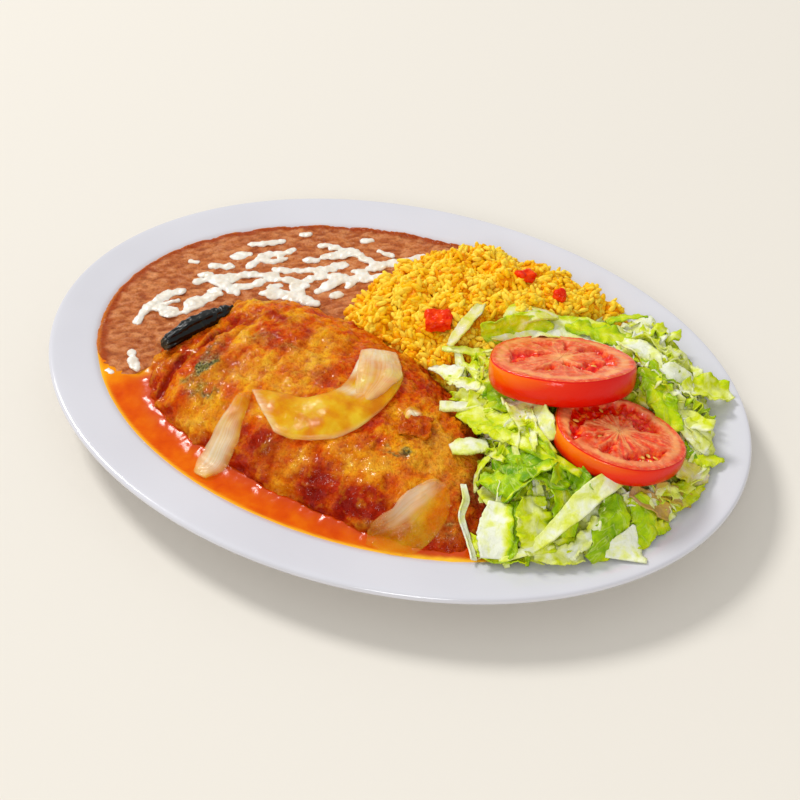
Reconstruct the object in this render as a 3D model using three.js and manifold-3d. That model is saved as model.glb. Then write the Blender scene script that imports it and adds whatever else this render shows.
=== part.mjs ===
// A chile relleno dinner on its oval platter: a battered stuffed pepper in red sauce, with rice,
// refried beans, melted cheese, stewed onion, shredded lettuce and two tomato slices.
// Millimetres, +Z up, +X along the platter, +Y across it, origin under its centre on the table.
import * as THREE from "three";
import Module from "manifold-3d";

const wasm = await Module();
wasm.setup();

// Driving sizes.
const gap = 0.35; // clearance between pieces that lie against each other
const cutTolerance = 0.05; // detail finer than this is dropped where pieces are cut to fit
const platter = { length: 320, width: 240, around: 50, edgeRadius: 1.75, edgeTop: 20.95 };
const wellFloor = 7.5;
const sauceLevel = 17.2;
const beanLevel = 18.7;
const beanInset = 20.3; // how far in from the platter's edge the beans start
const chile = { edge: 12, crest: 35.5, leftDrop: 6, rightDrop: 5, around: 42 };
const rice = { edge: 12, crest: 38.5, coveredDrop: 19, around: 34 };
const lettuce = { edge: 17.5, crest: 43.5, backDrop: 7, around: 32 };
const upperSlice = {
  centre: [74.9, 13.0, 46],
  facing: [-0.15, 0.349, 0.925],
  radius: 30,
  thick: 11.5,
  around: 28,
};
const lowerSlice = {
  centre: [110, -9.7, 40],
  facing: [0.105, 0.265, 0.958],
  radius: 26.6,
  thick: 8.5,
  around: 28,
};
const sliceRing = 0.8; // the flesh wall's inner edge, as a share of the slice's radius
const gelDrop = 0.9; // how far the seed pockets lie below a slice's face
const stalkSize = { length: 33.5, radius: 4.4, ribs: 5, around: 12, steps: 8 };
const onionThick = 3.2;
const chipSize = 11;
const flapFold = { from: [-73, -15], to: [-77, -66], width: 5, depth: 3.5 }; // the batter's left flap
const cheeseThick = 1.3;

// Across the platter's wall: distance in from its edge, then height. The top runs from edge to well.
const topProfile = [
  [19, 18.65],
  [20.5, 18],
  [22.5, 16.4],
  [28, 10.4],
  [32, 8.2],
  [37, wellFloor],
];
// The underside runs from the recess inside the foot ring out to the edge.
const underProfile = [
  [54.5, 2.5],
  [53, 0],
  [48.6, 0],
  [46, 3.2],
  [34, 4.2],
  [28, 6.6],
  [23.5, 11.5],
  [19, 14.6],
];

const mix = (a, b, share) => a + (b - a) * share;
const spot = (x, y, z) => new THREE.Vector3(x, y, z);

// Soft unevenness from three crossed waves, between about -1 and 1.
function swell(x, y, span) {
  const u = x / span;
  const v = y / span;
  const waves = [1.9 * u + 0.7 * v, 0.6 * u - 2.1 * v + 1.3, 1.3 * u + 1.7 * v + 4.1];
  return waves.reduce((sum, wave) => sum + Math.sin(wave) / 3, 0);
}

// How near a point is to a straight fold's line: 1 on it, falling to 0 past its width.
function groove(x, y, { from, to, width }) {
  const line = new THREE.Line3(spot(from[0], from[1], 0), spot(to[0], to[1], 0));
  const nearest = line.closestPointToPoint(spot(x, y, 0), true, spot(0, 0, 0));
  return 1 - THREE.MathUtils.smoothstep(nearest.distanceTo(spot(x, y, 0)), 0, width);
}

// A point at an angle round the platter, set in from its edge along the edge's normal.
function rimPoint(angle, inset, z) {
  const a = platter.length / 2;
  const b = platter.width / 2;
  const out = new THREE.Vector2(Math.cos(angle) / a, Math.sin(angle) / b).normalize();
  return spot(a * Math.cos(angle) - out.x * inset, b * Math.sin(angle) - out.y * inset, z);
}

function rimRing(inset, z) {
  const ring = [];
  for (let i = 0; i < platter.around; i += 1) {
    ring.push(rimPoint((i / platter.around) * 2 * Math.PI, inset, z));
  }
  return ring;
}

// A closed skin through rings of equal count, drawn in to a point at each end.
function loft(first, rings, last) {
  const around = rings[0].length;
  const points = [first, ...rings.flat(), last];
  const end = points.length - 1;
  const at = (ring, i) => 1 + ring * around + (i % around);
  const faces = [];
  for (let i = 0; i < around; i += 1) {
    faces.push([0, at(0, i + 1), at(0, i)]);
    for (let ring = 0; ring + 1 < rings.length; ring += 1) {
      faces.push([at(ring, i), at(ring, i + 1), at(ring + 1, i + 1)]);
      faces.push([at(ring, i), at(ring + 1, i + 1), at(ring + 1, i)]);
    }
    faces.push([end, at(rings.length - 1, i), at(rings.length - 1, i + 1)]);
  }
  return outward({ points, faces });
}

// Turns a skin's faces to point out of it.
function outward(skin) {
  const volume = skin.faces.reduce((sum, [a, b, c]) => {
    const cross = skin.points[b].clone().cross(skin.points[c]);
    return sum + skin.points[a].dot(cross);
  }, 0);
  if (volume < 0) skin.faces = skin.faces.map(([a, b, c]) => [a, c, b]);
  return skin;
}

function solidOf(skin) {
  return new wasm.Manifold(
    new wasm.Mesh({
      numProp: 3,
      vertProperties: new Float32Array(skin.points.flatMap((p) => p.toArray())),
      triVerts: new Uint32Array(skin.faces.flat()),
    }),
  );
}

// The same skin moved out along its normals, to cut room for it in a neighbour.
function grown(skin) {
  const normals = skin.points.map(() => spot(0, 0, 0));
  skin.faces.forEach((face) => {
    const [a, b, c] = face.map((i) => skin.points[i]);
    const normal = b.clone().sub(a).cross(c.clone().sub(a));
    face.forEach((i) => normals[i].add(normal));
  });
  const points = skin.points.map((p, i) => normals[i].normalize().multiplyScalar(gap).add(p));
  return solidOf({ points, faces: skin.faces });
}

// A skin's solid with room cut for its neighbours, as its largest piece.
function fitted(skin, neighbours) {
  const cut = neighbours.reduce((solid, other) => solid.subtract(other), solidOf(skin));
  const pieces = cut.decompose().sort((a, b) => b.volume() - a.volume());
  return pieces[0].simplify(cutTolerance);
}

// A smooth closed outline through a few points, as points in plan.
function outline(points, around) {
  const curve = new THREE.CatmullRomCurve3(
    points.map(([x, y]) => spot(x, y, 0)),
    true,
    "centripetal",
  );
  return curve.getSpacedPoints(around).slice(0, around);
}

// Food that covers an outline: its top follows top(x, y, share), with share 0 at the centre and 1 at
// the outline, and its underside is flat at base.
function heap({ edge, centre, shares, top, base }) {
  const [cx, cy] = centre;
  const ringAt = (share) =>
    edge.map((p) => {
      const x = mix(cx, p.x, share);
      const y = mix(cy, p.y, share);
      return spot(x, y, top(x, y, share));
    });
  const foot = edge.map((p) => spot(p.x, p.y, base));
  const rings = [foot, ...[...shares].reverse().map(ringAt)];
  return loft(spot(cx, cy, base), rings, spot(cx, cy, top(cx, cy, 0)));
}

// A crown between an edge height and a crest: blunt is how far the top stays high before it falls.
const crown = (edge, crest, share, blunt, fall) => mix(edge, crest, (1 - share ** blunt) ** fall);

function platterSkin() {
  const r = platter.edgeRadius;
  const middle = platter.edgeTop - r;
  const edge = [-90, -135, -180, -225, -270].map((degrees) => {
    const angle = (degrees / 180) * Math.PI;
    return [r + r * Math.cos(angle), middle + r * Math.sin(angle)];
  });
  const profile = [...underProfile, ...edge, ...topProfile];
  const rings = profile.map(([inset, z]) => rimRing(inset, z));
  return loft(spot(0, 0, underProfile[0][1]), rings, spot(0, 0, wellFloor));
}

// Everything up to just above the platter's top face, to trim what lies on it.
function platterBed() {
  const below = -5;
  const over = 6;
  const rise = ([inset, z]) => rimRing(inset - gap / 2, z + gap);
  const rim = [platter.edgeRadius, platter.edgeTop];
  const rings = [rimRing(-over, below), rimRing(-over, platter.edgeTop), rise(rim)];
  topProfile.forEach((point) => rings.push(rise(point)));
  return solidOf(loft(spot(0, 0, below), rings, spot(0, 0, wellFloor + gap)));
}

// A slice cut across a tomato: rounded skin edge, flat flesh ring and sunken seed pockets.
function sliceSkin({ centre, facing, radius, thick, around }, pockets) {
  const turn = new THREE.Quaternion();
  turn.setFromUnitVectors(spot(0, 0, 1), spot(...facing).normalize());
  const place = (angle, share, depth) => {
    const lobes = 1 + 0.018 * Math.sin(3 * angle + 0.6) + 0.012 * Math.sin(5 * angle);
    const r = radius * share * lobes;
    return spot(r * Math.cos(angle), r * Math.sin(angle), -depth)
      .applyQuaternion(turn)
      .add(spot(...centre));
  };
  const gel = (angle, share) => {
    const wall = Math.abs(Math.sin((pockets * angle) / 2)) ** 0.5;
    return share < sliceRing && share > 0.2 ? gelDrop * wall : 0;
  };
  const sides = [
    [0.955, thick],
    [0.995, thick * 0.8],
    [1.005, thick * 0.45],
    [0.99, thick * 0.1],
    [0.965, 0],
    [0.81, 0],
  ];
  const face = [0.76, 0.45];
  const ring = (share, depth) => {
    const made = [];
    for (let i = 0; i < around; i += 1) {
      const angle = (i / around) * 2 * Math.PI;
      made.push(place(angle, share, depth + gel(angle, share) * (depth === 0)));
    }
    return made;
  };
  const rings = [...sides, ...face.map((share) => [share, 0])].map(([s, d]) => ring(s, d));
  return loft(place(0, 0, thick), rings, place(0, 0, 0));
}

// A ribbed stalk, thick at its knobbly far end and drawn in at both tips.
function stalkSkin(from, to) {
  const { length, radius, ribs, around, steps } = stalkSize;
  const along = to.clone().sub(from).normalize();
  const side = along.clone().cross(spot(0, 0, 1)).normalize();
  const up = side.clone().cross(along);
  const rings = [];
  for (let step = 0; step <= steps; step += 1) {
    const share = step / steps;
    const bulge = Math.sin(Math.PI * mix(0.12, 0.9, share)) ** 0.45;
    const knob = 0.9 + 0.22 * share + 0.1 * Math.sin(share * 19);
    const middle = from
      .clone()
      .addScaledVector(along, share * length)
      .addScaledVector(up, 1.6 * Math.sin(Math.PI * share));
    const ring = [];
    for (let i = 0; i < around; i += 1) {
      const angle = (i / around) * 2 * Math.PI;
      const r = radius * bulge * knob * (1 + 0.1 * Math.cos(ribs * angle) * (1 - share));
      const out = side.clone().multiplyScalar(Math.cos(angle));
      out.addScaledVector(up, Math.sin(angle));
      ring.push(middle.clone().addScaledVector(out, r));
    }
    rings.push(ring);
  }
  const first = from.clone().addScaledVector(along, -1.5);
  const last = from.clone().addScaledVector(along, length + 2);
  return loft(first, rings, last);
}

// A curved petal of onion: a band along a spine, arched across, with widths given along it.
function petalSkin(spine, widths, arch) {
  const steps = 10;
  const across = 4;
  const curve = new THREE.CatmullRomCurve3(spine);
  const widthAt = (share) => {
    const place = share * (widths.length - 1);
    const low = Math.min(Math.floor(place), widths.length - 2);
    return mix(widths[low], widths[low + 1], place - low);
  };
  const rings = [];
  for (let step = 0; step <= steps; step += 1) {
    const share = step / steps;
    const middle = curve.getPoint(share);
    const along = curve.getTangent(share).setZ(0).normalize();
    const side = spot(along.y, -along.x, 0);
    const place = (u, height) =>
      middle
        .clone()
        .addScaledVector(side, (u * widthAt(share)) / 2)
        .setZ(middle.z + height - arch * u * u);
    const upper = [];
    const lower = [];
    for (let i = 0; i <= across; i += 1) {
      const u = (i / across) * 2 - 1;
      const thick = onionThick * mix(0.55, 1, 1 - u * u);
      upper.push(place(u, thick / 2));
      lower.unshift(place(u, -thick / 2));
    }
    rings.push([...upper, ...lower]);
  }
  return loft(curve.getPoint(0), rings, curve.getPoint(1));
}

// A diced piece with soft corners, turned about the vertical and tipped.
function diceSkin(x, y, z, size, turnDegrees, tipDegrees) {
  const [length, width, height] = size;
  const turn = new THREE.Quaternion().setFromEuler(
    new THREE.Euler((tipDegrees / 180) * Math.PI, 0, (turnDegrees / 180) * Math.PI),
  );
  const corner = 0.82;
  const layers = [
    [corner, -0.5],
    [1, -0.3],
    [1, 0.3],
    [corner, 0.5],
  ];
  const ring = ([share, level]) => {
    const made = [];
    for (let i = 0; i < 12; i += 1) {
      const angle = ((i + 0.5) / 12) * 2 * Math.PI;
      const square = Math.max(Math.abs(Math.cos(angle)), Math.abs(Math.sin(angle))) ** 0.8;
      const px = ((Math.cos(angle) / square) * length * share) / 2;
      const py = ((Math.sin(angle) / square) * width * share) / 2;
      made.push(spot(px, py, level * height).applyQuaternion(turn).add(spot(x, y, z)));
    }
    return made;
  };
  const tip = (level) => spot(0, 0, level * height).applyQuaternion(turn).add(spot(x, y, z));
  return loft(tip(-0.55), layers.map(ring), tip(0.55));
}

function chileSkin() {
  const edge = outline(
    [
      [-98, -34],
      [-94, -13],
      [-86, 8],
      [-68, 17],
      [-40, 19],
      [-8, 14],
      [22, 4],
      [50, -14],
      [73, -35],
      [84, -59],
      [80, -79],
      [58, -86],
      [18, -87],
      [-22, -84],
      [-56, -76],
      [-84, -63],
    ],
    chile.around,
  );
  const top = (x, y, share) => {
    const left = chile.leftDrop * THREE.MathUtils.smoothstep(-x, 35, 95);
    const right = chile.rightDrop * THREE.MathUtils.smoothstep(x, 20, 80);
    const bumps = (1.3 * swell(x, y, 9) + 0.8 * swell(y, x, 4.5)) * (1 - 0.5 * share);
    const fold = flapFold.depth * groove(x, y, flapFold) * (1 - share ** 8);
    return crown(chile.edge, chile.crest - left - right, share, 3.8, 0.55) + bumps - fold;
  };
  const shares = [0.25, 0.46, 0.64, 0.78, 0.88, 0.95, 1];
  return heap({ edge, centre: [-8, -40], shares, top, base: 5 });
}

function riceSkin() {
  const edge = outline(
    [
      [-35, 22],
      [-34, 44],
      [-29, 64],
      [-19, 82],
      [-3, 94],
      [18, 98],
      [45, 94.5],
      [70, 87],
      [92, 74],
      [95, 50],
      [80, 15],
      [50, -5],
      [15, -3],
      [-15, 5],
    ],
    rice.around,
  );
  const top = (x, y, share) => {
    const grains = 1.2 * swell(x, y, 6) + 0.7 * swell(y, x, 3);
    const covered = rice.coveredDrop * THREE.MathUtils.smoothstep(x - 0.6 * y, 18, 50);
    const crest = rice.crest - covered;
    return crown(rice.edge, crest, share, 3.4, 0.66) + grains * (1 - 0.6 * share);
  };
  const shares = [0.27, 0.52, 0.73, 0.87, 0.95, 1];
  return heap({ edge, centre: [28, 50], shares, top, base: 5 });
}

// Lowers a height to a slice's underside where the slice lies over it, easing out past its edge.
function pressedBy(slice, x, y, open) {
  const [cx, cy, cz] = slice.centre;
  const facing = spot(...slice.facing).normalize();
  const faceZ = cz - (facing.x * (x - cx) + facing.y * (y - cy)) / facing.z;
  const away = Math.hypot(x - cx, y - cy) - slice.radius;
  const pressed = Math.min(open, faceZ - slice.thick * 0.7);
  return mix(pressed, open, THREE.MathUtils.smoothstep(away, -1, 9));
}

function lettuceSkin() {
  const edge = outline(
    [
      [26, 18],
      [31, 46],
      [50, 64],
      [74, 78],
      [97, 86],
      [116, 77],
      [131, 55],
      [141, 27],
      [143, -3],
      [138, -30],
      [127, -52],
      [110, -67],
      [92, -77],
      [81, -78],
      [71, -60],
      [58, -30],
      [40, -8],
    ],
    lettuce.around,
  );
  const top = (x, y, share) => {
    const shreds = 2.2 * swell(x, y, 7) + 1.2 * swell(y, x, 3.2);
    const crest = lettuce.crest - lettuce.backDrop * THREE.MathUtils.smoothstep(y, 0, 45);
    const open = crown(lettuce.edge, crest, share, 2.3, 0.85) + shreds * (1 - 0.5 * share);
    return pressedBy(upperSlice, x, y, pressedBy(lowerSlice, x, y, open));
  };
  const shares = [0.2, 0.4, 0.58, 0.74, 0.88, 0.96, 1];
  return heap({ edge, centre: [92, -2], shares, top, base: 5 });
}

function beansSkin() {
  const wallFrom = 90;
  const wallTo = 213;
  const wall = [];
  for (let degrees = wallFrom; degrees <= wallTo; degrees += 6) {
    const p = rimPoint((degrees / 180) * Math.PI, beanInset, 0);
    wall.push([p.x, p.y]);
  }
  const hidden = [
    [-100, -64],
    [-94, -50],
    [-82, -30],
    [-50, -4],
    [-22, 12],
    [-14, 50],
    [-2, 84],
  ];
  const edge = outline([...wall, ...hidden], 34);
  const top = (x, y, share) => {
    const dip = 3.2 * THREE.MathUtils.smoothstep(-y, 46, 64);
    const relief = 0.45 * swell(x, y, 6) + 0.25 * swell(y, x, 3);
    return beanLevel + (0.6 + relief) * (1 - share ** 6) - dip;
  };
  const shares = [0.4, 0.72, 0.93, 1];
  return heap({ edge, centre: [-80, 34], shares, top, base: 5 });
}

function sauceSkin() {
  const edge = outline(
    [
      [-126, -56],
      [-100, -92],
      [-60, -108],
      [0, -114],
      [60, -108],
      [92, -92],
      [94, -72],
      [60, -62],
      [0, -62],
      [-60, -48],
      [-88, -26],
      [-106, -36],
    ],
    24,
  );
  const top = () => sauceLevel;
  return heap({ edge, centre: [-20, -84], shares: [1], top, base: 5 });
}

// A melted patch that lies in the beans, with a wavy edge.
function cheeseSkin(points, around) {
  const smooth = outline(points, around);
  const centre = smooth.reduce((sum, p) => sum.add(p), spot(0, 0, 0)).divideScalar(around);
  const edge = smooth.map((p, i) => {
    const wave = 1 + 0.09 * Math.sin(i * 1.9) + 0.06 * Math.sin(i * 0.8 + 1);
    return p.clone().sub(centre).multiplyScalar(wave).add(centre);
  });
  const level = beanLevel + 0.6;
  const top = (x, y, share) => level + cheeseThick * (1 - share ** 4) + 0.3 * swell(x, y, 4);
  const base = level - cheeseThick;
  return heap({ edge, centre: [centre.x, centre.y], shares: [0.5, 0.85, 1], top, base });
}

// The height of a skin's top face above a point in plan.
function heightOn(skin, x, y) {
  const geometry = new THREE.BufferGeometry().setFromPoints(skin.points);
  geometry.setIndex(skin.faces.flat());
  const surface = new THREE.Mesh(geometry, new THREE.MeshBasicMaterial());
  const ray = new THREE.Raycaster(spot(x, y, 200), spot(0, 0, -1));
  return ray.intersectObject(surface)[0].point.z;
}

// Points in plan laid on a skin, each lifted by its third number.
function laidOn(skin, points) {
  return points.map(([x, y, lift]) => spot(x, y, heightOn(skin, x, y) + lift));
}

const group = new THREE.Group();

function add(name, solid, color, roughness) {
  const { vertProperties, triVerts } = solid.getMesh();
  const geometry = new THREE.BufferGeometry();
  geometry.setAttribute("position", new THREE.BufferAttribute(new Float32Array(vertProperties), 3));
  geometry.setIndex(new THREE.BufferAttribute(new Uint32Array(triVerts), 1));
  geometry.computeVertexNormals();
  const mesh = new THREE.Mesh(geometry, new THREE.MeshStandardMaterial({ color, roughness }));
  mesh.name = name;
  group.add(mesh);
}

// What keeps its own shape and makes room for itself in the softer food.
const slices = {
  tomato_slice_upper: sliceSkin(upperSlice, 5),
  tomato_slice_lower: sliceSkin(lowerSlice, 6),
};
const stalk = stalkSkin(spot(-89.7, -39.2, 25), spot(-77.8, -6.4, 25.5));
const dice = {
  pepper_dice_front: diceSkin(15, 20.5, 37.3, [12, 10, 5], 25, 12),
  pepper_dice_back: diceSkin(36, 66, 38, [9, 6, 4], 60, -14),
  pepper_dice_side: diceSkin(53.5, 63, 35.5, [6, 5, 4], 10, -10),
};

// The food, each heap cut by the ones that stand against it.
const bed = platterBed();
const chileRelleno = chileSkin();
const riceHeap = riceSkin();
const lettuceHeap = lettuceSkin();
const beans = beansSkin();
const cheese = {
  cheese_middle: cheeseSkin(
    [
      [-107, 18],
      [-102, 40],
      [-84, 58],
      [-60, 64],
      [-42, 54],
      [-42, 38],
      [-54, 24],
      [-70, 13],
      [-90, 11],
    ],
    24,
  ),
  cheese_left: cheeseSkin(
    [
      [-118, -18],
      [-113, -3],
      [-102, -6],
      [-101, -19],
      [-110, -25],
    ],
    12,
  ),
  cheese_back: cheeseSkin(
    [
      [-46, 58],
      [-40, 72],
      [-27, 80],
      [-31, 62],
    ],
    12,
  ),
};
const onions = {
  onion_curl: petalSkin(
    laidOn(chileRelleno, [
      [-32, -55, 1.5],
      [-17, -60, 2.5],
      [0, -60, 3],
      [10, -48, 3],
      [9, -30, 2.5],
      [5, -13, 1.5],
    ]),
    [3, 15, 19, 18, 16, 14],
    2,
  ),
  onion_left: petalSkin(
    [
      ...laidOn(chileRelleno, [
        [-31, -64, 2.2],
        [-32.5, -72, 2.4],
      ]),
      spot(-34.5, -81, 23),
      spot(-35, -89.5, 17.8),
    ],
    [8, 12, 15, 9],
    1.5,
  ),
  onion_front: petalSkin(
    [
      ...laidOn(chileRelleno, [
        [57, -59, 2.4],
        [58, -69, 2.6],
      ]),
      spot(53.5, -81, 23),
      spot(45, -91.5, 17.6),
    ],
    [9, 19, 21, 11],
    1.5,
  ),
};
const chipZ = heightOn(chileRelleno, 35, -40) + 1.2;
const onionChip = diceSkin(35, -40, chipZ, [chipSize, chipSize * 0.9, 3], 20, 4);

const roomForChile = grown(chileRelleno);
const roomForRice = grown(riceHeap);
const roomForLettuce = grown(lettuceHeap);
const roomForBeans = grown(beans);
const roomForStalk = grown(stalk);
const roomForCheese = Object.values(cheese).map(grown);
const roomFor = (skins) => Object.values(skins).map(grown);

add("platter", solidOf(platterSkin()), 0xdedde3, 0.18);
add("beans", fitted(beans, [bed, roomForChile, roomForRice, roomForStalk, ...roomForCheese]), 0xc67c4c, 0.35);
add(
  "sauce",
  fitted(sauceSkin(), [
    bed,
    roomForChile,
    roomForBeans,
    roomForLettuce,
    ...roomFor({ left: onions.onion_left, front: onions.onion_front }),
  ]),
  0xe66a0a,
  0.15,
);
add("chile_relleno", fitted(chileRelleno, [bed, roomForStalk]), 0xd0701c, 0.4);
add("chile_stalk", solidOf(stalk), 0x14160f, 0.3);
add("rice", fitted(riceHeap, [bed, roomForChile, ...roomFor(dice), ...roomFor(slices)]), 0xebb41e, 0.55);
add(
  "lettuce",
  fitted(lettuceHeap, [bed, roomForChile, roomForRice, ...roomFor(slices), ...roomFor(dice)]),
  0xbecb6a,
  0.45,
);
Object.entries(slices).forEach(([name, skin]) => add(name, solidOf(skin), 0xdd2a0c, 0.25));
Object.entries(dice).forEach(([name, skin]) => add(name, solidOf(skin), 0xea340b, 0.35));
Object.entries(cheese).forEach(([name, skin]) => {
  add(name, fitted(skin, [roomForRice, roomForChile, roomForStalk]), 0xece4d9, 0.45);
});
Object.entries(onions).forEach(([name, skin]) => {
  add(name, fitted(skin, [bed, roomForChile, roomForLettuce]), 0xe2a52c, 0.25);
});
add("onion_chip", fitted(onionChip, [roomForChile]), 0xe6c79a, 0.35);

export default group;
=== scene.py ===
# Chile relleno dinner on an oval platter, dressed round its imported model. Metres, +Z up.
import math
import random

import bmesh
import bpy
import numpy as np
from mathutils import Matrix, Vector, noise
from mathutils.bvhtree import BVHTree


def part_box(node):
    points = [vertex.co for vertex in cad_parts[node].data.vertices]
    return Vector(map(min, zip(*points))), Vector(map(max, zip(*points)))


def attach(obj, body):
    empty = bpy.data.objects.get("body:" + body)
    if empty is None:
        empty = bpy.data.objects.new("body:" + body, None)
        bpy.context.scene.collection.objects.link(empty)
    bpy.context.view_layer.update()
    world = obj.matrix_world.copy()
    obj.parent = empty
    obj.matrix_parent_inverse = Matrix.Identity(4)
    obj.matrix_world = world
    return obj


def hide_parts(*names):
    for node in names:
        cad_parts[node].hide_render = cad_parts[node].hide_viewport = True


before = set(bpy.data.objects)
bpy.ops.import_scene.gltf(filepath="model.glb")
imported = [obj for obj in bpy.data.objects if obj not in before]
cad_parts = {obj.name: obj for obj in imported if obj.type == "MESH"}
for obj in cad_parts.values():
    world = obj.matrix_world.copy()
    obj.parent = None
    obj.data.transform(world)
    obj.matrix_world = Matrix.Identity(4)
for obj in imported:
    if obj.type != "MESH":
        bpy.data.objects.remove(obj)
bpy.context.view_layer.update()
scene = bpy.context.scene
mm = 0.001
turnRound = 6.28  # a full turn for random angles

shot = {
    "azimuth": 28.42,
    "elevation": 42.77,
    "distance": 0.540,
    "aim": (0.01633, -0.01727, 0.021),
    "lens": 57.4,
    "nearest": 0.01,
}
studio = {
    "floor": (228, 222, 211),
    "floorReach": 4,
    "sky": (255, 255, 255),
    "skyStrength": 0.56,
    "lampAim": (0, 0, 0.02),
    "key": {"place": (-2.7, 0.9, 2.9), "size": 1.1, "watts": 98.0},
    "fill": {"place": (0.5, -2.0, 1.5), "size": 0.9, "watts": 19.0},
}


# ---- numbers and colours

def tone(*shades):  # screen colour to the shader's linear colour
    shares = [shade / 255 for shade in shades]
    return tuple(s / 12.92 if s <= 0.04045 else ((s + 0.055) / 1.055) ** 2.4 for s in shares) + (1.0,)


def mix(a, b, share):
    return a + (b - a) * share


def ease(value, low, high):  # 0 below low, 1 above high, smooth between; takes arrays too
    share = np.clip((np.asarray(value, float) - low) / (high - low), 0, 1)
    return share * share * (3 - 2 * share)


def fractal(points, size, octaves=3, shift=0.0):
    offset = Vector((shift, shift * 0.7, -shift))
    return np.array([noise.fractal(Vector(point) / size + offset, 1.0, 2.1, octaves) for point in points])


def alongLine(line, spacing):  # evenly spaced places on a line through points
    line = np.array(line, float)
    runs = np.concatenate([[0], np.cumsum(np.linalg.norm(np.diff(line, axis=0), axis=1))])
    count = max(2, int(runs[-1] / spacing) + 1)
    far = np.linspace(0, runs[-1], count)
    return np.array([[np.interp(d, runs, line[:, k]) for k in range(line.shape[1])] for d in far])


def evened(line, rounds):  # a line of places with its corners eased
    for _ in range(rounds):
        line[1:-1] = 0.25 * line[:-2] + 0.5 * line[1:-1] + 0.25 * line[2:]
    return line


def nearLine(points, line):  # distance in plan to a line of points given in mm
    found = np.full(len(points), 1.0)
    for start, end in zip(line, line[1:]):
        a = np.array(start) * mm
        step = np.array(end) * mm - a
        share = np.clip(((points[:, :2] - a) @ step) / (step @ step), 0, 1)
        found = np.minimum(found, np.linalg.norm(points[:, :2] - a - share[:, None] * step, axis=1))
    return found


def patchy(points, spots, wander):  # how strongly each point lies in a set of ragged spots
    found = np.zeros(len(points))
    x = points[:, 0] / mm + wander[0]
    y = points[:, 1] / mm + wander[1]
    for spotX, spotY, reachX, reachY, strength in spots:
        found += strength * np.exp(-((x - spotX) / reachX) ** 2 - ((y - spotY) / reachY) ** 2)
    return found


# ---- materials

def newLook(name, **sockets):
    look = bpy.data.materials.new(name)
    look.use_nodes = True
    shader = look.node_tree.nodes["Principled BSDF"]
    shader.inputs["Subsurface Radius"].default_value = (1, 0.8, 0.6)  # even, so thin food doesn't turn green
    for socket, value in sockets.items():
        shader.inputs[socket.replace("_", " ")].default_value = value
    return look


def node(look, kind, inputs=None, **settings):
    made = look.node_tree.nodes.new("ShaderNode" + kind)
    for key, value in settings.items():
        setattr(made, key, value)
    for key, value in (inputs or {}).items():
        if isinstance(value, bpy.types.NodeSocket):
            look.node_tree.links.new(value, made.inputs[key])
        else:
            made.inputs[key].default_value = value
    return made


def feed(look, socket, value):
    shader = look.node_tree.nodes["Principled BSDF"]
    look.node_tree.links.new(value, shader.inputs[socket])
    if socket == "Normal":  # the wet coat follows the same bumps
        look.node_tree.links.new(value, shader.inputs["Coat Normal"])


def spread(look, size, detail=3.0, rough=0.5, distortion=0.0):  # noise with marks of about that size in mm
    inputs = {"Vector": node(look, "TexCoord").outputs["Object"], "Scale": 1 / (size * mm), "Detail": detail,
              "Roughness": rough, "Distortion": distortion}
    return node(look, "TexNoise", inputs).outputs["Fac"]


def ramp(look, value, *stops):  # a stop is its place and its screen colour
    made = node(look, "ValToRGB", {"Fac": value})
    elements = made.color_ramp.elements
    while len(elements) < len(stops):
        elements.new(0.5)
    for element, (place, *shades) in zip(elements, stops):
        element.position = place
        element.color = tone(*shades)
    return made.outputs["Color"]


def level(look, value, low, high, start=0.0, end=1.0):
    inputs = {"Value": value, "From Min": low, "From Max": high, "To Min": start, "To Max": end}
    return node(look, "MapRange", inputs).outputs["Result"]


def stain(look, share, under, over, mode="MIX"):
    return node(look, "Mix", {0: share, 6: under, 7: over}, data_type="RGBA", blend_type=mode).outputs[2]


def figure(look, operation, *values):
    return node(look, "Math", dict(enumerate(values)), operation=operation).outputs[0]


def attribute(look, name, output="Color"):
    return node(look, "Attribute", attribute_name=name).outputs[output]


def painted(look, name):  # the channels of a colour painted on the points
    return node(look, "SeparateColor", {"Color": attribute(look, name)}).outputs


def relief(look, height, depth, under=None):  # bumps of that depth in mm, on top of others
    inputs = {"Height": height, "Distance": depth * mm}
    if under is not None:
        inputs["Normal"] = under
    return node(look, "Bump", inputs).outputs["Normal"]


def cloudyLook(name, cloud, low, high, bumps=None, **sockets):  # two tones in soft clouds, and fine bumps
    look = newLook(name, **sockets)
    feed(look, "Base Color", ramp(look, spread(look, *cloud), low, high))
    if bumps:
        size, depth = bumps
        feed(look, "Normal", relief(look, spread(look, size, 2), depth))
    return look


# ---- meshes

def newPiece(name, data):
    obj = bpy.data.objects.new(name, data)
    scene.collection.objects.link(obj)
    return obj


def meshFrom(bm, name):
    mesh = bpy.data.meshes.new(name)
    bm.to_mesh(mesh)
    bm.free()
    return newPiece(name, mesh)


def pointsOf(obj):
    points = np.empty(len(obj.data.vertices) * 3)
    obj.data.vertices.foreach_get("co", points)
    return points.reshape(-1, 3)


def movePoints(obj, points):
    obj.data.vertices.foreach_set("co", np.asarray(points, float).ravel())
    obj.data.update()


def raised(obj, heights):  # steps along a mesh's normals, of heights in mm
    normals = np.empty(len(obj.data.vertices) * 3)
    obj.data.vertex_normals.foreach_get("vector", normals)
    return normals.reshape(-1, 3) * (np.reshape(heights, (-1, 1)) * mm)


def paintPoints(obj, name, *channels, most=1):
    values = np.ones((len(obj.data.vertices), 4))
    for k, channel in enumerate(channels):
        values[:, k] = np.clip(channel, 0, most)
    made = obj.data.attributes.new(name, "FLOAT_COLOR", "POINT")
    made.data.foreach_set("color", values.ravel())


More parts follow.
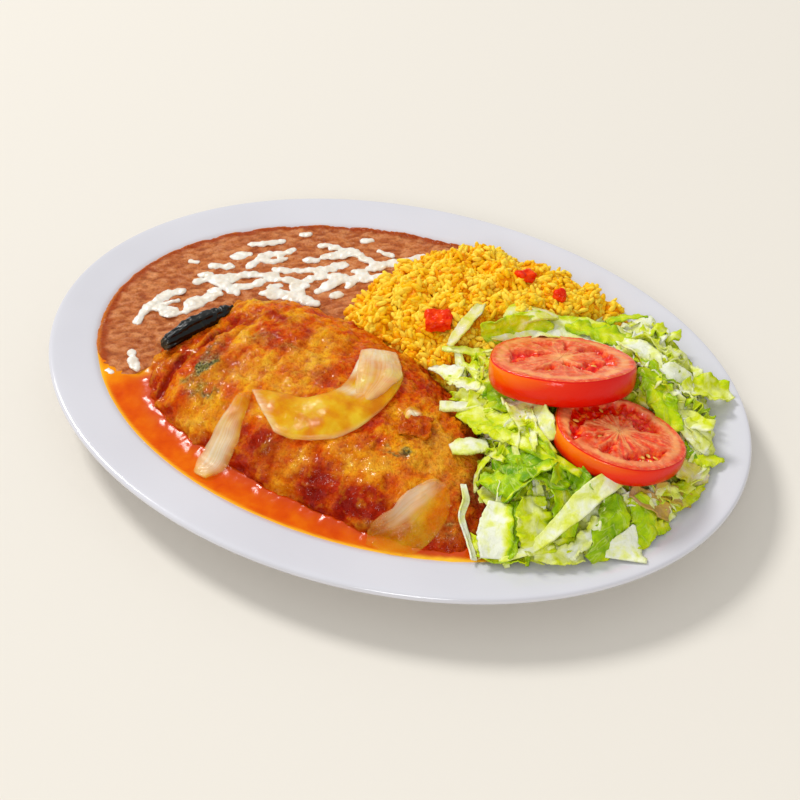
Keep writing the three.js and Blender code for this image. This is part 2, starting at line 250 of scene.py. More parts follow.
def bake(obj, *modifiers):  # adds modifiers, each a kind and its settings, and applies them
    for kind, settings in modifiers:
        made = obj.modifiers.new(kind.lower(), kind)
        for key, value in settings.items():
            setattr(made, key, value)
    bpy.context.view_layer.update()
    done = bpy.data.meshes.new_from_object(obj.evaluated_get(bpy.context.evaluated_depsgraph_get()))
    obj.modifiers.clear()
    obj.data = done


def evenSkin(obj, grain, rounds):  # one even skin, its facets smoothed away
    bake(obj, ("REMESH", {"voxel_size": grain * mm}), ("SMOOTH", {"iterations": rounds}))


def finish(obj, look, slot, *stands):
    obj.data.materials.clear()
    obj.data.materials.append(look)
    obj.data.polygons.foreach_set("use_smooth", [True] * len(obj.data.polygons))
    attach(obj, "root")
    if stands:
        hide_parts(*stands)
    return obj


def merged(*names):  # a copy of CAD nodes as one mesh, its doubles merged
    bm = bmesh.new()
    for name in names:
        bm.from_mesh(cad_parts[name].data)
    bmesh.ops.remove_doubles(bm, verts=bm.verts, dist=0.01 * mm)
    return bm


def softCopy(name, grain, rounds, *names):
    obj = meshFrom(merged(*names), name)
    evenSkin(obj, grain, rounds)
    return obj


def spun(profile, steps):  # a profile of places out and up, turned full circle
    bm = bmesh.new()
    line = [bm.verts.new((out, 0, up)) for out, up in profile]
    wires = [bm.edges.new(pair) for pair in zip(line, line[1:])]
    bmesh.ops.spin(bm, geom=line + wires, axis=(0, 0, 1), cent=(0, 0, 0), angle=2 * math.pi, steps=steps,
                   use_merge=True)
    return bm


def treeOf(obj):
    bm = bmesh.new()
    bm.from_mesh(obj.data)
    tree = BVHTree.FromBMesh(bm)
    bm.free()
    return tree


def snug(points, trees, reach, into):  # pushes points that lie near a neighbour a little way into it
    for tree in trees:
        for i, point in enumerate(points):
            near, normal, _, away = tree.find_nearest(Vector(point), reach)
            if near is not None:
                push = into * float(1 - ease(away, 0.5 * reach, reach))
                points[i] = near - normal * push if push > 0.3 * into else point


def onTop(tree, x, y):  # the highest point above a place in plan
    return tree.ray_cast(Vector((x, y, 0.2)), Vector((0, 0, -1)))[0]


# ---- camera, light and floor

def aimed(obj, place, back):  # puts a camera or lamp in place, its back towards a direction
    obj.location = place
    obj.rotation_euler = back.to_track_quat("Z", "Y").to_euler()


def placeCamera():
    turn = math.radians(shot["azimuth"])
    tilt = math.radians(shot["elevation"])
    back = Vector((math.sin(turn) * math.cos(tilt), -math.cos(turn) * math.cos(tilt), math.sin(tilt)))
    camera = newPiece("camera", bpy.data.cameras.new("camera"))
    camera.data.lens = shot["lens"]
    camera.data.sensor_width = 36
    camera.data.clip_start = shot["nearest"]
    aimed(camera, Vector(shot["aim"]) + back * shot["distance"], back)
    scene.camera = camera


def setStudio():
    placeCamera()
    for name in ("key", "fill"):
        light = bpy.data.lights.new(name + "Light", "AREA")
        light.shape = "DISK"
        light.size = studio[name]["size"]
        light.energy = studio[name]["watts"]
        place = Vector(studio[name]["place"])
        aimed(newPiece(name + "Light", light), place, place - Vector(studio["lampAim"]))
    world = bpy.data.worlds.new("sky")
    scene.world = world
    world.use_nodes = True
    sky = world.node_tree.nodes["Background"]
    sky.inputs["Color"].default_value = tone(*studio["sky"])
    sky.inputs["Strength"].default_value = studio["skyStrength"]
    scene.view_settings.view_transform = "Standard"
    bm = bmesh.new()
    bmesh.ops.create_grid(bm, x_segments=2, y_segments=2, size=studio["floorReach"])
    floor = meshFrom(bm, "floor")
    floor.data.materials.append(newLook("floorPaint", Base_Color=tone(*studio["floor"]), Roughness=0.9))


setStudio()
print("studio set")


# ---- platter

platter = {
    "edgeRadius": 1.75,
    "segments": 120,
    # the profile from the foot ring out to the edge and in to the floor: inset from the edge, height
    "foot": [(54.5, 2.5), (53.4, 0.5), (52.6, 0), (49.2, 0), (48.2, 0.5)],
    "under": [(46, 3.0), (40, 3.7), (34, 4.2), (30.5, 5.2), (28, 6.8), (25.6, 9.2), (23.5, 11.5),
              (19, 14.6)],
    "top": [(10, 19.84), (17.5, 18.84), (19.2, 18.58), (20.5, 18.0), (22.5, 16.4), (25.2, 13.4), (28, 10.5),
            (30, 9.1), (32, 8.25), (34.5, 7.7), (37, 7.5), (44, 7.5)],
    "glaze": [(0.3, 216, 215, 221), (0.7, 209, 208, 214)],
}
halfLength, halfWidth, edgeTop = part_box("platter")[1]


def insetOf(points):  # how far in from the platter's edge each place in plan is, by its nearest edge point
    x = points[:, 0]
    y = points[:, 1]
    angle = np.arctan2(y / halfWidth, x / halfLength)
    for _ in range(8):
        edgeX = halfLength * np.cos(angle)
        edgeY = halfWidth * np.sin(angle)
        alongX = -halfLength * np.sin(angle)
        alongY = halfWidth * np.cos(angle)
        speed = alongX ** 2 + alongY ** 2
        bend = speed + edgeX * (x - edgeX) + edgeY * (y - edgeY)
        angle += ((x - edgeX) * alongX + (y - edgeY) * alongY) / np.maximum(bend, 0.25 * speed)
    inside = np.where((x / halfLength) ** 2 + (y / halfWidth) ** 2 < 1, 1, -1)
    return inside * np.hypot(x - halfLength * np.cos(angle), y - halfWidth * np.sin(angle))


def makePlatter():
    radius = platter["edgeRadius"]
    middle = edgeTop / mm - radius
    edge = [(radius + radius * math.cos(math.radians(a)), middle + radius * math.sin(math.radians(a)))
            for a in range(-90, -271, -30)]
    profile = platter["foot"] + platter["under"] + edge + platter["top"]
    bm = spun([(halfLength - inset * mm, z * mm) for inset, z in profile], platter["segments"])
    for vert in bm.verts:  # from a round plate to the oval, each point kept at its inset
        inset = halfLength - vert.co.to_2d().length
        angle = math.atan2(vert.co.y, vert.co.x)
        out = Vector((math.cos(angle) / halfLength, math.sin(angle) / halfWidth)).normalized()
        vert.co.x = halfLength * math.cos(angle) - out.x * inset
        vert.co.y = halfWidth * math.sin(angle) - out.y * inset
    rims = bmesh.ops.holes_fill(bm, edges=[e for e in bm.edges if e.is_boundary])["faces"]
    bmesh.ops.poke(bm, faces=rims)
    bmesh.ops.recalc_face_normals(bm, faces=bm.faces)
    obj = meshFrom(bm, "ovalPlatter")
    bake(obj, ("SUBSURF", {"levels": 1, "render_levels": 1}))
    look = cloudyLook("glazedWhite", (60, 2), *platter["glaze"], (14, 0.12), Roughness=0.16, Coat_Weight=0.5,
                      Coat_Roughness=0.05, IOR=1.5)
    return finish(obj, look, "glazed_platter", "platter")


platterTree = treeOf(makePlatter())
print("platter made")


# ---- battered chile

chile = {
    "grain": 0.72,
    "rounds": 6,
    "lumps": [(18, 2.0, 2), (8, 1.2, 2)],  # size, height and octaves of each lot
    "crumb": (1.7, 0.55),  # size and height
    "smoothFront": (56, 72, 0.45),  # where the crumb fades towards the front, and by how much
    "wrinkle": (4.5, 1.4),
    "wrinkleEnd": -30,
    "fold": [(-70, -12), (-71, -31), (-77, -43), (-75, -63)],
    "foldWidth": 3.2,
    "foldDepth": 2.4,
    # spots of red, gold and bare green skin: place, reach both ways and strength
    "red": [(-49, -7, 13, 5, 0.9), (62, -30, 12, 9, 0.7), (74, -52, 8, 10, 0.6), (-80, -38, 5, 12, 0.9),
            (-53, -54, 5, 6, 0.8), (-38, -70, 8, 5, 0.6), (16, -80, 13, 6, 1.2), (38, -81, 12, 6, 1.3),
            (-26, -82, 12, 5, 0.9), (41, -40, 9, 6, 0.9), (20, -4, 20, 5, 0.9), (45, -18, 14, 6, 0.8),
            (60, -80, 16, 7, 0.7), (-18, -12, 10, 4, 0.5), (-12, -76, 12, 7, 0.7), (73, -42, 7, 20, 0.9),
            (66, -62, 6, 6, 0.5), (45, -44, 7, 5, 0.5), (-66, -12, 9, 3, 0.8), (20, -42, 6, 4, 0.5)],
    "gold": [(-43, -44, 12, 10, 0.7), (-23, -26, 11, 9, 0.8), (27, -65, 13, 6, 0.9), (50, -54, 8, 8, 0.8),
             (-54, -72, 9, 6, 0.8), (-70, 10, 11, 5, 1.0), (-20, -48, 9, 6, 0.6), (48, -40, 8, 6, 0.6),
             (-2, -74, 7, 4, 0.5), (-85, -52, 5, 5, 0.3)],
    "skin": [(-61, -49, 3.6, 8, 1.3), (-52, -61, 4.5, 3.5, 0.9), (-66, -36, 3, 9, 0.7),
             (35, -56, 4, 1.6, 1.0),
             (-34, -25, 5, 3, 0.5), (-13, -35, 6, 4, 0.35), (-50, -24, 6, 3, 0.5), (68, -50, 8, 9, 0.45),
             (67, -74, 4, 3, 0.7)],
}


def batterLook():
    look = newLook("friedBatter", Roughness=0.45, Coat_Weight=0.26, Coat_Roughness=0.06,
                   Subsurface_Weight=0.1,
                   Subsurface_Scale=0.002, Specular_IOR_Level=0.02)
    mottle = spread(look, 13, 7, 0.6)
    fine = spread(look, 1.0, 3, 0.6)
    base = ramp(look, mottle, (0.36, 194, 46, 2), (0.45, 224, 84, 2), (0.53, 238, 128, 2),
                (0.64, 250, 180, 24))
    parts = painted(look, "crust")
    # red patches of the batter, also laid on the fold line as painted shade in its crease
    redAndFoldShade = ramp(look, mottle, (0.36, 138, 16, 4), (0.62, 200, 50, 6))
    golden = ramp(look, mottle, (0.38, 236, 150, 10), (0.6, 252, 200, 60))
    red = stain(look, parts["Red"], base, redAndFoldShade)
    gold = stain(look, parts["Green"], red, golden)
    # crumb tips painted lighter gold, partly the crumbs' own colour and partly painted highlight; crumb
    # hollows painted dark red as painted shade
    crumbs = attribute(look, "crust", "Alpha")
    paleTipsAndHighlight = stain(look, level(look, crumbs, 0.55, 1.0, 0, 0.35), gold, tone(255, 190, 40))
    pitShade = stain(look, level(look, crumbs, 0.45, 0.0, 0, 0.5), paleTipsAndHighlight, tone(170, 36, 2))
    greens = ramp(look, fine, (0.35, 42, 48, 30), (0.55, 122, 118, 62), (0.7, 196, 176, 110))
    skin = stain(look, parts["Blue"], pitShade, greens)
    # the pits of the fine bumps painted darker, as painted shade
    finePitShade = ramp(look, fine, (0.32, 222, 160, 110), (0.5, 250, 240, 222), (0.7, 255, 255, 246))
    feed(look, "Base Color", stain(look, 0.6, skin, finePitShade, "MULTIPLY"))
    feed(look, "Normal", relief(look, fine, 1.0, relief(look, spread(look, 0.55, 2), 0.5)))
    feed(look, "Coat Normal", relief(look, spread(look, 1.3, 1.5), 0.4))
    feed(look, "Coat Weight", level(look, spread(look, 4, 4, 0.65), 0.46, 0.64, 0.05, 0.6))
    return look


def makeChile():
    obj = softCopy("batteredChile", chile["grain"], chile["rounds"], "chile_relleno")
    points = pointsOf(obj)
    for size, height, octaves in chile["lumps"]:
        pillow = 1 - 2.2 * np.abs(fractal(points, size * mm, octaves, size))
        points += raised(obj, pillow * 0.5 * height)
    drawn = points * np.array([1.0, 0.3, 1.0])
    end = chile["wrinkleEnd"]
    fading = 1 - 0.4 * ease(points[:, 0], (end - 25) * mm, end * mm)
    size, height = chile["wrinkle"]
    wrinkle = fractal(drawn, size * mm, 2, 9) * fading
    points += raised(obj, wrinkle * height)
    topSide = ease(points[:, 2], 17 * mm, 21 * mm)
    fold = 1 - ease(nearLine(points, chile["fold"]), 0, chile["foldWidth"] * mm)
    points[:, 2] -= fold * topSide * chile["foldDepth"] * mm
    size, height = chile["crumb"]
    start, end, loss = chile["smoothFront"]
    crumbs = fractal(points, size * mm, 3, 12) * (1 - loss * ease(-points[:, 1], start * mm, end * mm))
    points += raised(obj, crumbs * height)
    snug(points, [platterTree], 1.5 * mm, 0.4 * mm)
    movePoints(obj, points)
    wander = [fractal(points, 6 * mm, 4, shift) * 6 for shift in (3, 7)]
    # redder and less gold towards the bottom; the fold line painted darker red as painted shade in its crease
    low = 1 - ease(points[:, 2], 18 * mm, 27 * mm)
    red = patchy(points, chile["red"], wander) + 0.55 * low + 0.9 * fold
    gold = patchy(points, chile["gold"], wander) - 0.4 * low
    skin = patchy(points, chile["skin"], wander)
    # the alpha channel is the crumb height: lighter on tips as painted highlight, darker in hollows as
    # painted shade
    paintPoints(obj, "crust", red, gold, skin, 0.5 + 0.5 * crumbs + 0.8 * wrinkle)
    return finish(obj, batterLook(), "fried_batter", "chile_relleno")


chileSkin = makeChile()
chileTree = treeOf(chileSkin)
print("chile made")


# ---- refried beans

beans = {
    "grain": 0.9,
    "rounds": 4,
    "edgeInset": 20.3,
    "level": 19.0,
    "dip": 3.2,
    "taper": 1.5,
    "notch": 1.0,
    "streak": (2.6, 0.45),  # size and height of each
    "lumps": (10, 0.35),
    "mash": (2.4, 0.5),
    "turn": -35,
}


def beanLook():
    look = newLook("mashedBeans", Roughness=0.5, Coat_Weight=0.26, Coat_Roughness=0.08,
                   Specular_IOR_Level=0.05)
    mottle = spread(look, 6, 6, 0.6)
    fine = spread(look, 1.2, 4, 0.65)
    base = ramp(look, mottle, (0.34, 178, 90, 36), (0.5, 200, 116, 58), (0.66, 218, 144, 86))
    # mash tips painted lighter as painted highlight, mash hollows painted darker as painted shade
    mash = attribute(look, "oil", "Alpha")
    paleTipsAndHighlight = stain(look, level(look, mash, 0.55, 1.0, 0, 0.4), base, tone(230, 164, 118))
    pitShade = stain(look, level(look, mash, 0.45, 0.0, 0, 0.7), paleTipsAndHighlight, tone(150, 66, 24))
    parts = painted(look, "oil")
    dark = stain(look, parts["Red"], pitShade, tone(170, 68, 6))
    edge = stain(look, parts["Green"], dark, tone(220, 128, 30))
    # the hollows of the fine bumps painted darker, as painted shade
    fineHollowShade = ramp(look, fine, (0.3, 196, 146, 116), (0.5, 246, 238, 228), (0.74, 255, 254, 248))
    feed(look, "Base Color", stain(look, 0.7, edge, fineHollowShade, "MULTIPLY"))
    feed(look, "Normal", relief(look, fine, 0.8))
    return look


def makeBeans():
    obj = softCopy("refriedBeans", beans["grain"], beans["rounds"], "beans", "cheese_middle", "cheese_left",
                   "cheese_back")
    points = pointsOf(obj)
    top = (beans["level"] - beans["dip"] * ease(-points[:, 1], 46 * mm, 64 * mm)) * mm
    topSide = ease(points[:, 2] - top, -3 * mm, -1.6 * mm)
    points[:, 2] = mix(points[:, 2], top, topSide)
    inset = insetOf(points)

    def inward(places, low, high):  # 0 to 1 over a band that far inside the beans' edge
        return ease(places, (beans["edgeInset"] + low) * mm, (beans["edgeInset"] + high) * mm)

    def mashed(stretch, size, octaves, shift):  # drawn out along the way the beans were spread
        return fractal(turned * np.array([stretch, 1.0, 1.0]), size * mm, octaves, shift)

    turned = points @ np.array(Matrix.Rotation(math.radians(beans["turn"]), 3, "Z")).T
    streaks = mashed(0.2, beans["streak"][0], 3, 2)
    mash = mashed(0.55, beans["mash"][0], 3, 11)
    lumps = fractal(points, beans["lumps"][0] * mm, 2, 4)
    angle = np.arctan2(points[:, 1], points[:, 0])
    comb = np.stack([angle * 130 * mm, inset * 0.25, np.zeros(len(points))], axis=1)
    notches = np.abs(fractal(comb, 2.2 * mm, 2, 5))
    rim = inward(inset, 1.5, 3) * (1 - inward(inset, 4, 7.5))
    rise = streaks * beans["streak"][1] + lumps * beans["lumps"][1] - notches * rim * beans["notch"]
    rise += 0.25 * (1 - inward(inset, 1, 4))
    rise -= beans["taper"] * (1 - inward(inset, 0, 2.6))
    rise += mash * beans["mash"][1] * inward(inset, 2, 5)
    points[:, 2] += rise * topSide * mm
    snug(points, [platterTree, chileTree], 2.0 * mm, 0.5 * mm)
    movePoints(obj, points)
    ragged = inset + fractal(points, 5 * mm, 3, 8) * 1.5 * mm
    # the alpha channel is the mash height: lighter on tips as painted highlight, darker in hollows as painted
    # shade
    paintPoints(obj, "oil", 1 - inward(ragged, 3.6, 6.4), 1 - inward(inset, 1.5, 3.0), 0, 0.5 + 1.1 * mash)
    return finish(obj, beanLook(), "refried_beans", "beans")


beanTree = treeOf(makeBeans())
print("beans made")


# ---- red sauce

sauce = {
    "size": (240, 92),
    "middle": (-20, -72),
    "level": 17.2,
    "grain": 1.0,
    "thick": 1.7,
    "outerInset": 17.0,
    "shoreInset": 21.5,
    "meniscus": 1.7,
    "meniscusReach": 2.4,
    "innerEdge": ([-140, -104, -86, -60, 0, 60, 96], [-44, -32, -34, -50, -66, -66, -72]),
    "oil": [(-100, -50, 9, 5, 1.0), (-110, -60, 8, 4, 0.6)],
}


def sauceLook():
    look = newLook("redSauce", Roughness=0.16, Subsurface_Weight=0.1, Subsurface_Scale=0.002,
                   Specular_IOR_Level=0.08)
    base = ramp(look, spread(look, 12, 6, 0.6), (0.34, 212, 72, 0), (0.5, 225, 94, 0), (0.66, 234, 120, 2))
    parts = painted(look, "pool")
    # painted darker red next to the chile
    deep = stain(look, parts["Green"], base, tone(200, 62, 0))
    oily = stain(look, parts["Blue"], deep, tone(250, 190, 14))
    feed(look, "Base Color", stain(look, parts["Red"], oily, tone(248, 190, 44)))
    feed(look, "Normal", relief(look, spread(look, 3, 2), 0.1))
    feed(look, "Specular IOR Level", level(look, attribute(look, "pool", "Alpha"), 0, 1, 0.07, 0.5))
    return look


def makeSauce():
    bm = bmesh.new()
    width, depth = sauce["size"]
    steps = (round(width / sauce["grain"]), round(depth / sauce["grain"]))
    bmesh.ops.create_grid(bm, x_segments=steps[0], y_segments=steps[1], size=0.5)
    x, y = sauce["middle"]
    for vert in bm.verts:
        vert.co = Vector((vert.co.x * width + x, vert.co.y * depth + y, sauce["level"])) * mm
    flat = np.array([vert.co for vert in bm.verts])
    inner = np.interp(flat[:, 0] / mm, *sauce["innerEdge"])
    gone = (insetOf(flat) < sauce["outerInset"] * mm) | (flat[:, 1] / mm > inner)
    bmesh.ops.delete(bm, geom=[v for v, out in zip(list(bm.verts), gone) if out], context="VERTS")
    walls = bmesh.ops.extrude_face_region(bm, geom=bm.faces[:])["geom"]
    bmesh.ops.translate(bm, verts=[g for g in walls if isinstance(g, bmesh.types.BMVert)],
                        vec=(0, 0, -sauce["thick"] * mm))
    bmesh.ops.recalc_face_normals(bm, faces=bm.faces)
    obj = meshFrom(bm, "saucePool")
    points = pointsOf(obj)
    top = points[:, 2] > (sauce["level"] - 0.5) * mm
    away = np.full(len(points), 0.05)
    for i in np.nonzero(top)[0]:
        found = chileTree.find_nearest(Vector(points[i]), 0.02)
        if found[0] is not None:
            away[i] = found[3]
    inset = insetOf(points)
    shoreInset = sauce["shoreInset"]
    ripple = fractal(points, 9 * mm, 2, 1) * 0.12
    beads = 1 + 0.35 * fractal(points, 3.5 * mm, 2, 6)
    climb = sauce["meniscus"] * np.exp(-away / (sauce["meniscusReach"] * mm)) * beads
    climb *= 0.5 + 0.5 * ease(points[:, 0], -66 * mm, -36 * mm)
    shore = 0.3 * np.exp(-np.abs(inset - shoreInset * mm) / (0.9 * mm))
    points[:, 2] += np.where(top, (ripple + climb + shore) * mm, 0)
    movePoints(obj, points)
    thin = 1 - ease(inset, (shoreInset - 0.4) * mm, (shoreInset + 1.6) * mm)
    wander = fractal(points, 8 * mm, 3, 2) * 5
    oil = patchy(points, sauce["oil"], [wander, wander])
    paintPoints(obj, "pool", thin, np.exp(-away / (5 * mm)), oil, np.exp(-away / (1.8 * mm)))
    return finish(obj, sauceLook(), "red_sauce", "sauce")


makeSauce()
print("sauce made")


# ---- melted cheese

cheese = {
    "seed": 31,
    "step": 0.9,
    "grain": 0.5,
    "rounds": 5,
    "rise": 0.8,
    "extra": 1.25,
    "swell": 4.5,
    "tones": [(0.35, 228, 216, 196), (0.6, 240, 234, 222)],
    "strands": [  # width, then the places along each strand
        (2.2, [(-103, 48), (-97, 51), (-90, 58)]), (3.1, [(-104, 36), (-101, 39), (-99, 41)]),
        (1.9, [(-109, 25), (-104, 27), (-100, 29)]), (1.6, [(-110, 16), (-106, 19)]),
        (4.0, [(-108, 11), (-104, 16), (-98, 17), (-95, 22), (-91, 27), (-87, 29)]),
        (4.0, [(-98, 17), (-93, 14), (-87, 13)]),
        (3.1, [(-93, 32), (-92, 40), (-90, 46), (-84, 49), (-82, 54)]),
        (2.2, [(-90, 40), (-85, 41), (-81, 47)]),
        (3.1, [(-87, 29), (-81, 31), (-73, 32), (-67, 34), (-61, 33)]),
        (3.5, [(-90, 17), (-84, 20), (-81, 26)]),
        (2.6, [(-81, 37), (-74, 39), (-67, 44), (-60, 47), (-56, 54), (-54, 56)]),
        (3.1, [(-63, 37), (-59, 43), (-53, 46), (-48, 46)]),
        (3.1, [(-54, 32), (-52, 37), (-50, 43), (-49, 48)]),
        (4.4, [(-76, 18), (-69, 22), (-62, 23), (-55, 24)]), (3.5, [(-66, 30), (-61, 27), (-57, 23)]),
        (1.6, [(-76, 24), (-72, 28)]), (1.9, [(-72, 50), (-67, 53)]),
        (3.1, [(-66, 56), (-61, 61), (-58, 67), (-51, 66)]), (1.6, [(-72, 63), (-69, 65), (-61, 66)]),
        (3.5, [(-55, 22), (-50, 24)]), (3.1, [(-115, -26), (-117, -17), (-116, -9), (-115, -3), (-110, 2)]),
        (1.8, [(-113, -13), (-111, -9), (-108, -5)]), (4.0, [(-113, -14), (-107, -14), (-102, -12)]),
        (4.9, [(-100, -9), (-100, -2), (-97, 4), (-93, 8)]), (1.8, [(-99, 9), (-95, 10)]),
        (2.6, [(-110, -57), (-106, -58)]), (3.5, [(-104, -45), (-100, -49), (-96, -52)]),
        (1.2, [(-120, 23), (-117, 24)]), (1.8, [(-84, 67), (-81, 69)]),
        (1.7, [(-66, 64), (-63, 66), (-60, 67)]),
        (3.4, [(-63, 58), (-59, 61), (-56, 65), (-53, 68)]), (1.7, [(-55, 77), (-52, 79)]),
        (2.7, [(-44, 73), (-41, 73), (-37, 73)]), (2.0, [(-48, 64), (-44, 64)]),
        (2.9, [(-42, 63), (-36, 66), (-32, 70), (-29, 73)]), (1.7, [(-42, 59), (-39, 61), (-36, 63)]),
        (2.7, [(-28, 74), (-26, 77), (-23, 79), (-21, 78)]), (2.5, [(-47, 53), (-44, 55), (-41, 55)]),
        (4.4, [(-58, 49), (-57, 53), (-54, 56)]),
        (3.2, [(-55, 44), (-50, 45), (-44, 49), (-38, 52), (-35, 54), (-33, 57)]),
        (4.4, [(-44, 42), (-43, 45), (-43, 48)]), (2.9, [(-52, 39), (-50, 42), (-49, 44)]),
        (2.9, [(-46, 32), (-44, 35)]),
    ],
}


def makeCheese():
    rng = random.Random(cheese["seed"])
    bm = bmesh.new()
    for width, line in cheese["strands"]:
        places = alongLine(line, cheese["step"])
        for i, (x, y) in enumerate(places):
            taper = 0.4 + 0.6 * math.sin(math.pi * (i + 0.5) / len(places)) ** 0.6
            swell = 1 + 0.8 * noise.noise(Vector((x, y, 0)) / cheese["swell"])
            radius = width * 0.5 * taper * swell + cheese["extra"] * swell
            x += rng.uniform(-0.25, 0.25)
            y += rng.uniform(-0.25, 0.25)
            place = onTop(beanTree, x * mm, y * mm)
            if place is None:
                continue
            place.z += 0.15 * mm
            size = Matrix.Diagonal((radius * mm, radius * mm, cheese["rise"] * mm, 1))
            bmesh.ops.create_icosphere(bm, subdivisions=2, radius=1, matrix=Matrix.Translation(place) @ size)
    obj = meshFrom(bm, "cheeseStrands")
    evenSkin(obj, cheese["grain"], cheese["rounds"])
    points = pointsOf(obj)
    movePoints(obj, points + raised(obj, fractal(points, 2.6 * mm, 2) * 0.5))
    look = cloudyLook("meltedCheese", (5, 3), *cheese["tones"], (2, 0.15), Roughness=0.33,
                      Subsurface_Weight=0.3,
                      Subsurface_Scale=0.002, Coat_Weight=0.25, Coat_Roughness=0.12)
    return finish(obj, look, "melted_cheese", "cheese_middle", "cheese_left", "cheese_back")


makeCheese()
print("cheese made")


# ---- chile stalk

stalk = {
    "near": (-90.5, -41.5, 25.0),
    "far": (-77.0, -4.2, 26.0),
    "grain": 0.35,
    "rounds": 4,
    "ridges": 9,
    "ridgeDepth": 0.36,
    "knobs": 0.7,
    "tip": {"from": (-78.5, -8.5, 27.0), "to": (-76.5, -5.0, 27.5), "radii": (3.0, 0.35)},
}


def stalkLook():
    look = newLook("charredStalk", Roughness=0.35, Coat_Weight=0.7, Coat_Roughness=0.06,
                   Specular_IOR_Level=0.03)
    patch = spread(look, 3, 4, 0.6)
    char = ramp(look, patch, (0.35, 2, 3, 2), (0.6, 6, 9, 5), (0.75, 30, 32, 14))
    dull = ramp(look, patch, (0.4, 52, 42, 20), (0.65, 140, 118, 78))
    feed(look, "Base Color", stain(look, attribute(look, "cut", "Fac"), char, dull))
    feed(look, "Normal", relief(look, spread(look, 1.6, 2), 0.25))
    return look


def makeStalk():
    bm = merged("chile_stalk")
    start = Vector(stalk["tip"]["from"]) * mm
    step = Vector(stalk["tip"]["to"]) * mm - start
    turn = step.to_track_quat("Z", "Y").to_matrix().to_4x4()
    wide, narrow = stalk["tip"]["radii"]
    bmesh.ops.create_cone(bm, cap_ends=True, segments=10, radius1=wide * mm, radius2=narrow * mm,
                          depth=step.length + 1.5 * mm, matrix=Matrix.Translation(start + step / 2) @ turn)
    obj = meshFrom(bm, "charredStalk")
    evenSkin(obj, stalk["grain"], stalk["rounds"])
    points = pointsOf(obj)
    near = np.array(stalk["near"]) * mm
    axis = np.array(stalk["far"]) * mm - near
    length = np.linalg.norm(axis)
    axis /= length
    side = np.cross(axis, (0, 0, 1))
    up = np.cross(side, axis)
    along = (points - near) @ axis / length
    angle = np.arctan2((points - near) @ up, (points - near) @ side)
    ridge = np.cos(angle * stalk["ridges"] + along * 2.5) * (1 - 0.7 * ease(along, 0.3, 0.8))
    knobs = fractal(points, 2.6 * mm, 3, 2) * (0.6 + 0.6 * ease(along, 0.65, 0.9))
    points += raised(obj, ridge * stalk["ridgeDepth"] + knobs * stalk["knobs"])
    movePoints(obj, points)
    paintPoints(obj, "cut", *[0.9 * (1 - ease(along, 0.02, 0.12))] * 3)
    return finish(obj, stalkLook(), "charred_stalk", "chile_stalk")


makeStalk()
print("stalk made")


# ---- stewed onion

onion = {
    "thick": 1.1,
    "grid": (49, 17),
    "wellTop": 17.2,  # no petal hangs below this
    # the two long edges of each petal, from one end to the other; where it is cream rather than amber: how
    # much overall, then spots as place along, place across, reach along, reach across and strength; how solid
    # it looks; how far it bows up, how far one edge lifts, and how far it lies off what is under it
    "petals": {
        "Curl": {
            "edges": ([(-32, -56), (-27, -53), (-20, -51), (-12, -50), (-5, -47.5), (-1, -41), (0, -33),
                       (-2, -23),
                       (-4, -13)],
                      [(-13, -70), (-6, -70.5), (1, -69), (8, -66.5), (13.5, -63), (18, -55), (20.5, -43),
                       (21.5, -31), (19.5, -19), (8.5, -4.5)]),
            "cream": [0, (0, 0, 0.05, 2, 0.5), (1, 0.4, 0.16, 0.9, 0.5), (0.86, 1, 0.14, 0.3, 0.9),
                      (1, -1, 0.05, 3, 0.5), (0.6, 0.5, 0.05, 0.6, 0.7), (0.3, -0.95, 0.3, 0.12, 0.35)],
            "solid": 0.64, "arch": 1.3, "lip": -0.2, "lift": 0.1,
        },
        "Left": {
            "edges": ([(-36, -59), (-36, -64), (-36.5, -71), (-39, -77), (-41.5, -83), (-38, -91.5)],
                      [(-30.5, -57), (-28, -65), (-26, -73), (-24.5, -79), (-27, -85), (-32, -92)]),
            "cream": [0, (0.68, 0.1, 0.36, 0.9, 1.0), (0.3, 0.9, 0.3, 0.3, 0.5)],
            "solid": 0.38, "arch": 0.8, "lip": 0.1, "lift": 0.1,
        },
        "Front": {
            "edges": ([(59, -59.5), (55, -61), (51, -66), (48.5, -72), (46, -79), (40, -87)],
                      [(62, -61.5), (66.5, -70), (66.5, -79), (62, -87), (54, -92), (42, -92)]),
            "cream": [0, (0.45, 0.75, 0.38, 0.5, 1.0), (0.6, 0.1, 0.2, 0.3, 0.2)],
            "solid": 0.22, "arch": 0.9, "lip": 1.3, "lift": 0.1,
        },
        "Flap": {
            "edges": ([(-5, -13), (1, -26), (4, -33), (7, -39), (11, -41.5)],
                      [(8, -5), (14, -12), (19.5, -20), (18.5, -29), (15, -40)]),
            "cream": [0.42, (0.1, 0, 0.25, 1, 0.3)],
            "solid": 0.5, "arch": 0.8, "lip": 0.2, "lift": 1.5,
        },
        "ChipRim": {
            "edges": ([(29.8, -40), (28.6, -36.5), (29.4, -33.8), (32.5, -31)],
                      [(33.5, -39.5), (33.4, -37), (34, -35.4), (35.8, -33.4)]),
            "cream": [0, (0.5, -0.3, 0.3, 0.9, 1.2)],
            "solid": 0.75, "arch": 0.4, "lip": 0.8, "lift": 0.1,
        },
    },
    "lump": {"grain": 0.45, "rounds": 4, "wider": 0.35, "moved": (1.5, -1.0), "red": 0.55},
}


